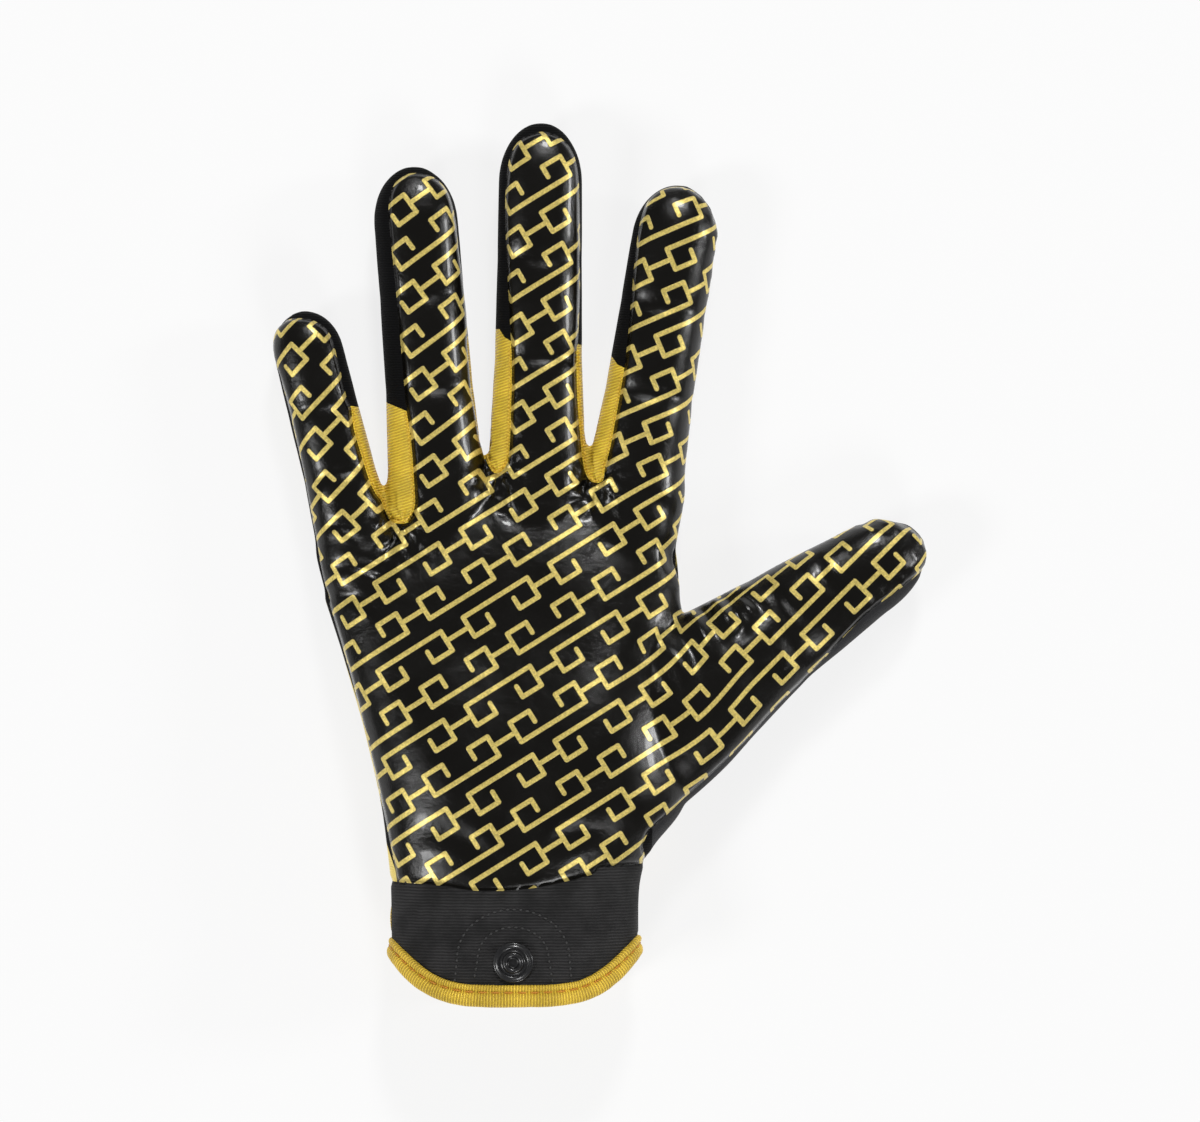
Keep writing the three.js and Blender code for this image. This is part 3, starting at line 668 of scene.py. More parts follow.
def cut_panels():
    """The shell cut along its seams into a mesh for each piece."""
    shell = boolean(build_shell(), beyond_hem(1.1), "INTERSECT")
    cuff = boolean(duplicate(shell, "cuff"), beyond_wrist(), "DIFFERENCE")
    boolean(shell, beyond_wrist(), "INTERSECT")
    side = boolean(above_seam(), prism(THUMB_TIP_SPACE, THUMB_TIP_FLOOR, FAR), "UNION")
    palm_space = boolean(prism(PRINT_OUTLINE), side, "INTERSECT")
    pieces = {"cuff": cuff, "palm_panel": duplicate(shell, "palm_panel")}
    boolean(pieces["palm_panel"], palm_space, "INTERSECT", keep=True)
    boolean(shell, palm_space, "DIFFERENCE")
    for pair, outline in GOLD_SPACES.items():
        space = prism(outline, GOLD_FLOOR, FAR)
        name = "fourchette_" + pair
        pieces[name] = boolean(duplicate(shell, name), space, "INTERSECT", keep=True)
        boolean(shell, space, "DIFFERENCE")
    boolean(shell, prism(slit_outline(SLIT_BINDING_WIDTH - 0.6), -FAR, SLIT_DEPTH), "DIFFERENCE")
    thumb = beside_thumb()
    pieces["thumb_back"] = boolean(duplicate(shell, "thumb_back"), thumb, "INTERSECT", keep=True)
    pieces["back_panel"] = boolean(shell, thumb, "DIFFERENCE")
    pieces["back_panel"].name = "back_panel"
    return pieces


def paint(obj, name, values):
    """Stores numbers or vectors at the points of a mesh, for its material."""
    values = np.asarray(values, float)
    kind = "FLOAT_VECTOR" if values.ndim == 2 else "FLOAT"
    layer = obj.data.attributes.new(name, kind, "POINT")
    layer.data.foreach_set("vector" if values.ndim == 2 else "value", values.astype(np.float32).ravel())


def calm_normals(points):
    """Normals of the bare hand form at each point, without seams and creases."""
    base, normals = mesh_arrays(glove_form("calm", 0.0, 2.0, 8))
    tree = kdtree.KDTree(len(base))
    for i, place in enumerate(base):
        tree.insert(place, i)
    tree.balance()
    nearest = [tree.find_n(place, 10) for place in points]
    index = np.array([[found[1] for found in near] for near in nearest])
    gap = np.array([[found[2] for found in near] for near in nearest])
    weight = np.exp(-(gap - gap[:, :1]) ** 2 / 3.0)
    mean = np.sum(normals[index] * weight[:, :, None], axis=1)
    choose(bpy.data.objects["calm"])
    bpy.ops.object.delete()
    return unit(mean)


def wrapped(points, normals):
    """Plan coordinates that run on round the sides of the cloth, in millimetres."""
    flat = np.hypot(normals[:, 0], normals[:, 1])
    tilt = np.arctan2(flat, np.maximum(normals[:, 2], 0))
    reach = ROUND_SIDE * (tilt - np.sin(tilt)) / np.maximum(flat, 1e-6)
    return points[:, :2] + normals[:, :2] * reach[:, None]


def rgba(color):
    """A colour with its fourth number."""
    return (*tuple(color)[:3], 1.0)


def toned(color, share):
    """A colour made darker or lighter."""
    return tuple(min(share * c, 1.0) for c in color)


def finish_piece(obj, node, material, angle=35.0):
    """Gives a piece its finish and puts it in the place of its CAD node."""
    obj.data.materials.clear()
    obj.data.materials.append(material)
    choose(obj)
    bpy.ops.object.shade_smooth_by_angle(angle=math.radians(angle))
    if node:
        obj.name = node + "_cloth"
        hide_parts(node)
    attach(obj, "root")
    return obj


class Tree:
    """Adds nodes to a shader tree and links them."""

    def __init__(self, tree):
        self.tree = tree

    def feed(self, socket, value):
        if isinstance(value, bpy.types.NodeSocket):
            self.tree.links.new(value, socket)
        elif value is not None:
            socket.default_value = value

    def node(self, kind, sockets=None, **settings):
        made = self.tree.nodes.new(kind)
        for key, value in settings.items():
            setattr(made, key, value)
        for key, value in (sockets or {}).items():
            self.feed(made.inputs[key], value)
        return made

    def math(self, operation, *values):
        made = self.node("ShaderNodeMath", operation=operation)
        for socket, value in zip(made.inputs, values):
            self.feed(socket, value)
        return made.outputs[0]

    def remap(self, value, low, high, to_low=0.0, to_high=1.0, kind="SMOOTHSTEP"):
        made = self.node("ShaderNodeMapRange", interpolation_type=kind)
        for key, number in zip(("Value", "From Min", "From Max", "To Min", "To Max"),
                               (value, low, high, to_low, to_high)):
            self.feed(made.inputs[key], number)
        return made.outputs["Result"]

    def noise(self, vector, scale, detail=3.0, rough=0.5):
        made = self.node(
            "ShaderNodeTexNoise",
            {"Vector": vector, "Scale": scale, "Detail": detail, "Roughness": rough},
        )
        return made.outputs["Fac"]

    def gap(self, first, second):
        """How far apart two numbers are."""
        return self.math("ABSOLUTE", self.math("SUBTRACT", first, second))

    def mix(self, share, first, second):
        made = self.node("ShaderNodeMix", data_type="RGBA")
        self.feed(made.inputs["Factor"], share)
        for label, value in (("A", first), ("B", second)):
            self.feed(made.inputs[label], value if isinstance(value, bpy.types.NodeSocket) else rgba(value))
        return made.outputs["Result"]

    def shades(self, share, color, low, high):
        """From a darker to a lighter shade of a colour."""
        return self.mix(share, toned(color, low), toned(color, high))

    def stored(self, name, output="Fac"):
        """Numbers, or with Vector the vectors, that paint stored at the points of the mesh."""
        return self.node("ShaderNodeAttribute", attribute_name=name).outputs[output]

    def scaled(self, vector, scale):
        made = self.node("ShaderNodeVectorMath", operation="SCALE")
        self.feed(made.inputs[0], vector)
        self.feed(made.inputs["Scale"], scale)
        return made.outputs[0]

    def place(self):
        """Object coordinates in millimetres."""
        return self.scaled(self.node("ShaderNodeTexCoord").outputs["Object"], 1 / MM)

    def split(self, vector):
        return self.node("ShaderNodeSeparateXYZ", {"Vector": vector}).outputs

    def bump(self, height, depth):
        """Normal from a height in millimetres."""
        return self.node("ShaderNodeBump", {"Height": height, "Distance": depth * MM}).outputs["Normal"]


def group(name, inputs, outputs, build):
    """A shader group made once. Inputs and outputs are names with their socket kinds."""
    if name in bpy.data.node_groups:
        return bpy.data.node_groups[name]
    made = bpy.data.node_groups.new(name, "ShaderNodeTree")
    for direction, sockets in (("INPUT", inputs), ("OUTPUT", outputs)):
        for label, kind in sockets:
            made.interface.new_socket(label, in_out=direction, socket_type=kind)
    tree = Tree(made)
    results = build(tree, made.nodes.new("NodeGroupInput").outputs)
    tree.node("NodeGroupOutput", results)
    return made


VECTOR, FLOAT = "NodeSocketVector", "NodeSocketFloat"
FRET_PERIOD, FRET_ROWS, FRET_SHIFT, FRET_LINE = 24.8, 9.3, 7.0, 0.58

# Strokes of the key fret: middle along and across the row, half length along and across
FRET_STROKES = [
    (0.0, -2.6, 9.2, 0.0), (9.2, 0.1, 0.0, 2.7), (6.5, 2.8, 2.7, 0.0), (3.8, 1.35, 0.0, 1.45),
    (-9.2, 0.1, 0.0, 2.7), (-6.5, 2.8, 2.7, 0.0), (-3.8, 1.35, 0.0, 1.45), (12.4, 0.1, 3.2, 0.0),
    (-12.4, 0.1, 3.2, 0.0),
]


def fret_group():
    """Rows of a key fret: bars with two facing square hooks and links. Every other row is turned over."""
    def build(tree, source):
        u, v, _ = tree.split(source["Lay"])
        row = tree.math("ROUND", tree.math("DIVIDE", v, FRET_ROWS))
        offset = tree.math("SUBTRACT", v, tree.math("MULTIPLY", row, FRET_ROWS))
        odd = tree.math("FLOORED_MODULO", row, 2.0)
        across = tree.math("MULTIPLY", offset, tree.math("MULTIPLY_ADD", odd, -2.0, 1.0))
        shifted = tree.math("MULTIPLY_ADD", row, FRET_SHIFT, u)
        along = tree.math("SUBTRACT", tree.math("FLOORED_MODULO", shifted, FRET_PERIOD), FRET_PERIOD / 2)
        nearest = None
        for middle_u, middle_v, half_u, half_v in FRET_STROKES:
            far_u = tree.math("MAXIMUM", tree.math("SUBTRACT", tree.gap(along, middle_u), half_u), 0.0)
            far_v = tree.math("MAXIMUM", tree.math("SUBTRACT", tree.gap(across, middle_v), half_v), 0.0)
            squares = tree.math("MULTIPLY_ADD", far_u, far_u, tree.math("MULTIPLY", far_v, far_v))
            gap = tree.math("SQRT", squares)
            nearest = gap if nearest is None else tree.math("MINIMUM", nearest, gap)
        return {"Mask": tree.remap(nearest, FRET_LINE + 0.1, FRET_LINE - 0.1)}

    return group("Key Fret", [("Lay", VECTOR)], [("Mask", FLOAT)], build)


def ribs_group():
    """Fine ribs of a knit or a woven tape, with their unevenness."""
    def build(tree, source):
        wander = tree.noise(source["Place"], 0.35, 2.0)
        phase = tree.math("MULTIPLY_ADD", wander, 0.5, tree.math("DIVIDE", source["Across"], source["Pitch"]))
        wave = tree.math("SINE", tree.math("MULTIPLY", phase, 2 * math.pi))
        height = tree.math("MULTIPLY_ADD", wave, 0.5, 0.5)
        fuzz = tree.noise(source["Place"], 2.6, 4.0, 0.65)
        return {"Height": tree.math("MULTIPLY_ADD", fuzz, 0.6, height)}

    return group("Ribs", [("Place", VECTOR), ("Across", FLOAT), ("Pitch", FLOAT)], [("Height", FLOAT)], build)


def material(name, build, **principled):
    """A material made once, under a name that no CAD material has. build gives the values of its sockets."""
    name += "_look"
    if name in bpy.data.materials:
        return bpy.data.materials[name]
    made = bpy.data.materials.new(name)
    made.use_nodes = True
    made.node_tree.nodes.clear()
    tree = Tree(made.node_tree)
    shader = tree.node("ShaderNodeBsdfPrincipled")
    for label, value in {**principled, **build(tree)}.items():
        tree.feed(shader.inputs[label], value)
    output = tree.node("ShaderNodeOutputMaterial")
    tree.feed(output.inputs["Surface"], shader.outputs["BSDF"])
    return made


def ribs(tree, across, pitch):
    """Height of ribs that lie across a coordinate."""
    sockets = {"Place": tree.place(), "Across": across, "Pitch": pitch}
    return tree.node("ShaderNodeGroup", sockets, node_tree=ribs_group()).outputs["Height"]


def printed_leather(colors):
    """Glossy black leather with a key fret in pale gold, rolled over at its edge."""
    def build(tree):
        place = tree.place()
        sockets = {"Lay": tree.stored("lay", "Vector")}
        fret = tree.node("ShaderNodeGroup", sockets, node_tree=fret_group()).outputs["Mask"]
        grain = tree.noise(place, 1.6, 4.0, 0.7)
        body = tree.noise(place, 0.12, 3.0)
        worn = tree.math("MULTIPLY", fret, tree.remap(grain, 0.2, 0.36, 0.55, 1.0))
        ink = tree.shades(tree.remap(grain, 0.35, 0.7), colors.print_color, 0.62, 1.0)
        roll = tree.remap(tree.stored("edge"), 0.0, 0.9)
        skin = tree.math("MULTIPLY_ADD", grain, 0.1, tree.math("MULTIPLY", roll, 0.5))
        height = tree.math("MULTIPLY_ADD", body, 0.5, tree.math("MULTIPLY_ADD", fret, 0.14, skin))
        gloss = tree.remap(tree.noise(place, 0.09, 4.0, 0.6), 0.35, 0.65, 0.17, 0.27)
        return {
            "Base Color": tree.mix(worn, colors.leather_color, ink),
            "Roughness": tree.math("MULTIPLY_ADD", fret, 0.13, gloss),
            "Normal": tree.bump(height, 0.75),
            "Metallic": tree.math("MULTIPLY", worn, 0.35),
        }

    return material("printed_leather", build, **{
        "Coat Weight": 0.16, "Coat Roughness": 0.07, "Specular IOR Level": 0.3,
    })


# Foil rays of the back: from and to along the hand, then their pitch, and the half width's share of it, at
# either end; the fan's middle across, and how far up the sides the foil reaches
RAY_PITCH = (20.0, 190.0, 3.1, 9.5)
RAY_SHARE = (25.0, 175.0, 0.27, 0.025)
RAY_MIDDLE = 4.0
FOIL_TOP = 13.0

# Lozenge of the back: its middle along the hand, half its width, and its slope
LOZENGE_PLACE, LOZENGE_REACH, LOZENGE_SLOPE = 78.0, 13.0, 0.55


def knit(colors):
    """Black ribbed knit, with painted shade in the grooves of its ribs and painted light on their crests, and
    a fan of foil rays round a lozenge.
    """
    def build(tree):
        place = tree.place()
        height = ribs(tree, tree.split(place)[1], 0.62)
        x, y, _ = tree.split(tree.stored("lay", "Vector"))
        aside = tree.math("ABSOLUTE", x)
        ray = tree.math("DIVIDE", aside, tree.remap(y, *RAY_PITCH, "LINEAR"))
        off = tree.gap(tree.math("FRACT", ray), 0.5)
        rays = tree.remap(tree.math("SUBTRACT", off, tree.remap(y, *RAY_SHARE, "LINEAR")), 0.02, -0.02)
        lozenge = tree.math("MULTIPLY_ADD", tree.gap(y, LOZENGE_PLACE), LOZENGE_SLOPE, aside)
        bare = tree.remap(lozenge, LOZENGE_REACH + 2.4, LOZENGE_REACH + 2.8)
        ring = tree.remap(tree.gap(lozenge, LOZENGE_REACH), 0.9, 0.7)
        foil = tree.math("MAXIMUM", tree.math("MULTIPLY", rays, bare), ring)
        foil = tree.math("MULTIPLY", foil, tree.stored("foil"))
        crack = tree.remap(tree.noise(place, 1.2, 5.0, 0.75), 0.3, 0.42, 0.2, 1.0)
        foil = tree.math("MULTIPLY", foil, crack)
        # Painted shade and light: the knit is darker in the grooves between its ribs and lighter on their
        # crests.
        rib_shaded_knit = tree.shades(tree.remap(height, 0.2, 1.3), colors.knit_color, 0.6, 1.4)
        return {
            "Base Color": tree.mix(foil, rib_shaded_knit, colors.print_color),
            "Roughness": tree.remap(foil, 0.0, 1.0, 0.86, 0.4),
            "Metallic": tree.math("MULTIPLY", foil, 0.5),
            "Normal": tree.bump(height, 0.12),
        }

    return material("black_knit", build, **{"Specular IOR Level": 0.1, "Sheen Weight": 0.01})


# Ribbed cloths: pitch and depth of the ribs, their darkest and lightest tone, which is painted shade in the
# grooves and painted light on the crests, the cloth's roughness, and the darkest and lightest of its large
# soft patches of painted shade and light, placed at random
Ribbing = namedtuple("Ribbing", "pitch depth low high roughness dull bright")
STRETCH_RIBS = Ribbing(0.72, 0.3, 0.74, 1.2, 0.42, 0.86, 1.12)
TAPE_RIBS = Ribbing(0.72, 0.3, 0.58, 1.1, 0.5, 0.82, 1.08)
CUFF_RIBS = Ribbing(0.74, 0.16, 0.5, 1.5, 0.8, 0.55, 1.3)


def ribbed(name, color, ribbing, slant=None, gloss=0.3):
    """A ribbed cloth of one colour, with painted shade in the grooves of its ribs, painted light on their
    crests and random soft patches of painted light and shade. Its ribs cross the glove at a slant, or without
    one follow the lay.
    """
    def build(tree):
        if slant is None:
            across = tree.split(tree.stored("lay", "Vector"))[0]
        else:
            x, y, _ = tree.split(tree.place())
            across = tree.math("MULTIPLY_ADD", x, slant, y)
        height = ribs(tree, across, ribbing.pitch)
        # Painted shade and light: the colour is darker in the grooves between the ribs and lighter on their
        # crests.
        tone = tree.shades(tree.remap(height, 0.25, 1.3), color, ribbing.low, ribbing.high)
        # Painted light and shade: soft patches, lighter and darker at random, scale the colour.
        cloud = tree.remap(tree.noise(tree.place(), 0.16, 4.0), 0.32, 0.68, ribbing.dull, ribbing.bright)
        return {"Base Color": tree.scaled(tone, cloud), "Normal": tree.bump(height, ribbing.depth)}

    return material(name, build, **{"Roughness": ribbing.roughness, "Specular IOR Level": gloss})


def gold_tape(colors):
    """Ribbed gold tape of the bindings."""
    return ribbed("gold_binding", colors.gold_color, TAPE_RIBS)


def suede(colors):
    """Dark grey brushed cloth with a nap."""
    def build(tree):
        nap = tree.noise(tree.place(), 3.2, 5.0, 0.75)
        cloud = tree.noise(tree.place(), 0.14, 3.0)
        tone = tree.shades(tree.remap(nap, 0.25, 0.75), colors.suede_color, 0.55, 1.4)
        tone = tree.mix(tree.remap(cloud, 0.35, 0.7, 0.0, 0.35), tone, toned(colors.suede_color, 0.6))
        return {"Base Color": tone, "Normal": tree.bump(nap, 0.16)}

    settings = {"Roughness": 0.95, "Specular IOR Level": 0.2, "Sheen Weight": 0.1}
    return material("grey_suede", build, **settings)


def smooth_plain(name, color, roughness, grain, scale, **more):
    """A smooth material of one colour with a fine grain."""
    def build(tree):
        speck = tree.noise(tree.place(), scale, 4.0, 0.6)
        tone = tree.shades(tree.remap(speck, 0.3, 0.7), color, 0.7, 1.3)
        return {"Base Color": tone, "Normal": tree.bump(speck, grain)}

    return material(name, build, **{"Roughness": roughness, **more})


def color_property(name, description, default):
    return bpy.props.FloatVectorProperty(
        name=name, description=description, default=default, subtype="COLOR", size=3, min=0.0, max=1.0
    )


class GloveColors(bpy.types.PropertyGroup):
    leather_color: color_property("Leather", "Colour of the tacky palm", (0.003, 0.0026, 0.0019))
    print_color: color_property("Print", "Colour of the pale-gold print", (0.92, 0.73, 0.21))
    knit_color: color_property("Knit", "Colour of the knit back", (0.0032, 0.0032, 0.0034))
    suede_color: color_property("Suede", "Colour of the thumb's back", (0.028, 0.028, 0.03))
    gold_color: color_property("Gold", "Colour of the side walls and bindings", (1.0, 0.63, 0.062))
    cuff_color: color_property("Cuff", "Colour of the cuff", (0.0165, 0.016, 0.0163))
    strap_color: color_property("Strap", "Colour of the strap", (0.012, 0.012, 0.013))
    stud_color: color_property("Stud", "Colour of the press stud", (0.01, 0.01, 0.011))
    thread_color: color_property("Thread", "Colour of the gold seam thread", (0.55, 0.23, 0.015))


def length_property(name, description, default):
    return bpy.props.FloatProperty(
        name=name, description=description, default=default, unit="LENGTH", subtype="DISTANCE"
    )


class GloveSizes(bpy.types.PropertyGroup):
    stitch_length: length_property("Stitch Length", "Length of a stitch on the bindings", 0.0021)
    stitch_gap: length_property("Stitch Gap", "Gap between two stitches", 0.0011)
    thread_radius: length_property("Thread Radius", "Radius of the sewing thread", 0.00022)
    floor_reach: length_property("Floor Reach", "Half the width of the floor", 6.0)
    frame_width: length_property("Picture Width", "Width of what the camera sees at the glove", 0.294)


def turn_back(plan, angles):
    """Places in plan, each turned clockwise round the origin by an angle of its own."""
    x, y = plan.T
    return np.stack([np.cos(angles) * x + np.sin(angles) * y, np.cos(angles) * y - np.sin(angles) * x], 1)


def lay_of(points, normals):
    """Coordinates of the print in millimetres: it follows the lean of each finger."""
    plan = wrapped(points, normals)
    turned = plan.copy()
    for name in (*FINGERS, "thumb"):
        root, heading, length, width, _ = finger_frame(name)
        ahead, aside = directions(heading)
        along, across = (points[:, :2] - root) @ ahead, (points[:, :2] - root) @ aside
        lean, reach = heading - math.pi / 2, 0.7
        if name == "thumb":
            lean, reach = math.radians(THUMB_PRINT_TURN), 0.95
        share = smooth_step(along, -8.0, 22.0) * smooth_step(-np.abs(across), -reach * width, -0.52 * width)
        turned += turn_back(plan - root, share * lean) - (plan - root)
    lay = turn_back(turned, np.full(len(turned), math.radians(PRINT_SLOPE)))
    return np.column_stack([lay, np.zeros(len(lay))])


# First and last points of the printed palm's edge beside each gold side wall
EDGINGS = {"ring_little": (20, 34), "middle_ring": (49, 61), "index_middle": (75, 88)}


def edging(pieces, colors):
    """The sewn edge of each gold side wall along the printed palm."""
    for pair, (first, last) in EDGINGS.items():
        run = catmull(PRINT_EDGE[first:last], 6)
        ahead = unit(np.gradient(run, axis=0))
        line = run + 0.5 * np.column_stack([-ahead[:, 1], ahead[:, 0]])
        path, outward = on_surface(pieces["fourchette_" + pair], line)
        thread = toned(colors.gold_color, 0.85)
        stitches(pair + "_edging", path, outward, EDGING_SEAM, thread)


def paint_palm(obj):
    """Stores the print's coordinates on the palm and the distance from the leather's edge."""
    points, _ = mesh_arrays(obj)
    x, y, z = points.T
    inside = np.minimum(outline_distance(points[:, :2], PRINT_OUTLINE), z - seam_height(y))
    paint(obj, "edge", np.clip(np.minimum(inside, y - wrist_line(x)), -1, 5))
    paint(obj, "lay", lay_of(points, calm_normals(points)))


def paint_back(obj):
    """Stores the rays' coordinates on the back and how far up the sides the foil reaches."""
    points, _ = mesh_arrays(obj)
    x, y, z = points.T
    paint(obj, "lay", points - (RAY_MIDDLE, 0, 0))
    top = FOIL_TOP - 7.0 * smooth_step(y, HAND_LENGTH - 26.0, HAND_LENGTH - 2.0)
    wrist = smooth_step(-y, -128.0, -112.0) * smooth_step(-x, 0.0, 12.0)
    paint(obj, "foil", np.maximum(smooth_step(top - z, 0.0, 1.0), wrist))


class GLOVE_OT_panels(bpy.types.Operator):
    """Builds the palm, the back, the thumb's back, the side walls and the cuff"""

    bl_idname = "glove.panels"
    bl_label = "Sewn Panels"

    def execute(self, context):
        colors = context.scene.glove_colors
        pieces = cut_panels()
        paint_palm(pieces["palm_panel"])
        paint_back(pieces["back_panel"])
        finish_piece(pieces["palm_panel"], "palm_panel", printed_leather(colors))
        finish_piece(pieces["back_panel"], "back_panel", knit(colors))
        finish_piece(pieces["thumb_back"], "thumb_back", suede(colors))
        for pair in GOLD_SPACES:
            node = "fourchette_" + pair
            cloth = ribbed("gold_stretch", colors.gold_color, STRETCH_RIBS, -0.3, 0.4)
            finish_piece(pieces[node], node, cloth)
        edging(pieces, colors)
        cloth = ribbed("charcoal_knit", colors.cuff_color, CUFF_RIBS, 0.0)
        finish_piece(pieces["cuff"], "cuff", cloth)
        return {"FINISHED"}


def hand_wall(low_grow, high_grow):
    """The space between two copies of the hand's outer face."""
    outer = loft("band", hand_rings(high_grow))
    return boolean(outer, loft("core", hand_rings(low_grow)), "DIFFERENCE")


def round_lay(obj, outline):
    """Stores how far along an outline each point lies, and how far from it."""
    points, _ = mesh_arrays(obj)
    best, along = np.full(len(points), FAR), np.zeros(len(points))
    run = run_along(outline)
    for a, b, start, end in zip(outline[:-1], outline[1:], run[:-1], run[1:]):
        away, share = line_gap(points[:, :2], a, b)
        near = away < best
        best = np.where(near, away, best)
        along = np.where(near, start + share * (end - start), along)
    paint(obj, "lay", np.stack([along, best, points[:, 2]], 1))


def sweep(name, centres, across, up, profile):
    """A cross section carried round a closed path. Stores the length run along the path."""
    centres, across, up = (np.vstack([part, part[:1]]) for part in (centres, across, up))
    rings = centres[:, None] + across[:, None] * profile[None, :, :1] + up[:, None] * profile[None, :, 1:]
    obj = new_object(name, rings.reshape(-1, 3), tube_faces(len(centres), len(profile)))
    face_outwards(obj)
    run = run_along(centres)
    paint(obj, "lay", np.repeat(np.stack([run, run * 0, run * 0], 1), len(profile), axis=0))
    return obj


def round_profile(points, steps=3):
    """A closed outline made finer by a smooth curve."""
    smooth = catmull(points[-2:] + points + points[:2], steps)
    return smooth[2 * steps:(2 + len(points)) * steps]


def hem_path(sides=360):
    """Centre line of the hem on the cuff's outer face, its outward normals and its way up the cuff."""
    rings = hand_rings(0.0, sides)[:24]
    x = rings[10, :, 0]
    for _ in range(3):
        y = hem_line(x)
        x = np.array([np.interp(y[i], rings[:, i, 1], rings[:, i, 0]) for i in range(sides)])
    z = np.array([np.interp(y[i], rings[:, i, 1], rings[:, i, 2]) for i in range(sides)])
    centres = np.stack([x, y, np.maximum(z, 0)], 1)
    tangent = unit(np.roll(centres, -1, axis=0) - np.roll(centres, 1, axis=0))
    normal = unit(np.stack([tangent[:, 2], tangent[:, 1] * 0, -tangent[:, 0]], 1))
    normal *= np.sign(np.sum(normal * (centres - centres.mean(0)), axis=1))[:, None]
    up = np.cross(normal, tangent)
    up *= np.sign(up[:, 1])[:, None]
    return centres, normal, unit(up)


# The hem's binding in section: height over the cuff's face, and place up the cuff. Its stitched groove
HEM_PROFILE = [
    (0.75, 0.0), (1.25, 0.8), (1.35, 1.7), (1.1, 2.5), (0.55, 3.0), (0.5, 3.25), (0.85, 3.6), (0.95, 4.2),
    (0.65, 4.75), (0.05, 4.9), (-0.8, 4.8), (-1.8, 4.8), (-2.4, 4.2), (-2.5, 2.8), (-2.45, 1.0), (-1.7, -0.1),
    (-0.7, -0.5), (0.1, -0.4),
]
HEM_GROOVE = (0.62, 3.12)


# Stitches: their length, the gap between two, the thread's radius, and how deep they sink as a share of it
Seam = namedtuple("Seam", "length gap radius sink")
EDGING_SEAM = Seam(0.85, 0.15, 0.3, 0.1)
CUFF_SEAM = Seam(0.9, 0.7, 0.26, 0.1)


def binding_seam(sizes):
    """Stitches of the gold bindings, from the panel's sizes."""
    return Seam(sizes.stitch_length / MM, sizes.stitch_gap / MM, sizes.thread_radius / MM, 0.35)


def stitches(name, path, normals, seam, color):
    """A row of short stitches along a path on the cloth."""
    run = run_along(path)
    half = seam.length / 2
    places = np.arange(half, run[-1] - half, seam.length + seam.gap)

    def at(values, where):
        return np.stack([np.interp(where, run, values[:, i]) for i in range(3)], 1)

    centre, outward = at(path, places), at(normals, places)
    tangent = unit(at(path, places + 0.2) - at(path, places - 0.2))
    side = np.cross(outward, tangent)
    rings, sides = 7, 6
    angle = 2 * np.pi * np.arange(sides)[:, None] / sides
    points, faces = [], []
    for i in range(len(places)):
        start = len(points)
        for share in np.arange(rings) / (rings - 1):
            thick = seam.radius * math.sqrt(math.sin(math.pi * (0.06 + 0.88 * share)))
            rise = seam.radius * (0.8 * math.sin(math.pi * share) - seam.sink)
            middle = centre[i] + tangent[i] * (share - 0.5) * seam.length + outward[i] * rise
            points.extend(middle + thick * (outward[i] * np.sin(angle) + side[i] * np.cos(angle)))
        faces += tube_faces(rings, sides, start)
        faces += [tuple(range(end, end + sides)) for end in (start, len(points) - sides)]
    obj = face_outwards(new_object(name, np.maximum(points, (-FAR, -FAR, 0)), faces))
    thread = smooth_plain("thread_" + name, color, 0.6, 0.03, 5.0)
    finish_piece(obj, None, thread, 60.0)


class GLOVE_OT_hem(bpy.types.Operator):
    """Builds the binding folded over the hem of the cuff, and its stitches"""

    bl_idname = "glove.hem"
    bl_label = "Hem Binding"

    def execute(self, context):
        colors, sizes = context.scene.glove_colors, context.scene.glove_sizes
        centres, normal, up = hem_path()
        binding = sweep("hem_binding_cloth", centres, normal, up, round_profile(HEM_PROFILE))
        points, normals = mesh_arrays(binding)
        points += normals * (0.1 * noise_at(points, 2.6) + 0.12 * noise_at(points + 9, 7.0))[:, None]
        points[:, 2] = np.maximum(points[:, 2], 0.0)
        set_points(binding, points)
        finish_piece(binding, "hem_binding", gold_tape(colors), 60.0)
        path = centres + normal * HEM_GROOVE[0] + up * HEM_GROOVE[1]
        stitches("hem_stitches", path, normal, binding_seam(sizes), colors.thread_color)
        return {"FINISHED"}


def finish_binding(wall, node, voxel, height, edge, colors):
    """Softens a flat binding, keeps it above a height and gives it ribs square to its edge."""
    soften(wall, voxel, 5)
    keep_above(wall, height)
    round_lay(wall, edge)
    return finish_piece(wall, node, gold_tape(colors), 60.0)

def on_surface(obj, plan, downwards=True):
    """Points and normals of a piece above or below places in plan, in the glove's millimetres."""
    bpy.context.view_layer.update()
    found, outward = [], []
    start = 0.1 if downwards else -0.1
    for x, y in plan:
        origin = ((x - ORIGIN[0]) * MM, (y - ORIGIN[1]) * MM, start)
        hit, place, normal, _ = obj.ray_cast(origin, (0, 0, -1 if downwards else 1))
        if hit:
            found.append(np.array(place) / MM + ORIGIN)
            outward.append(np.array(normal))
    return np.array(found), np.array(outward)


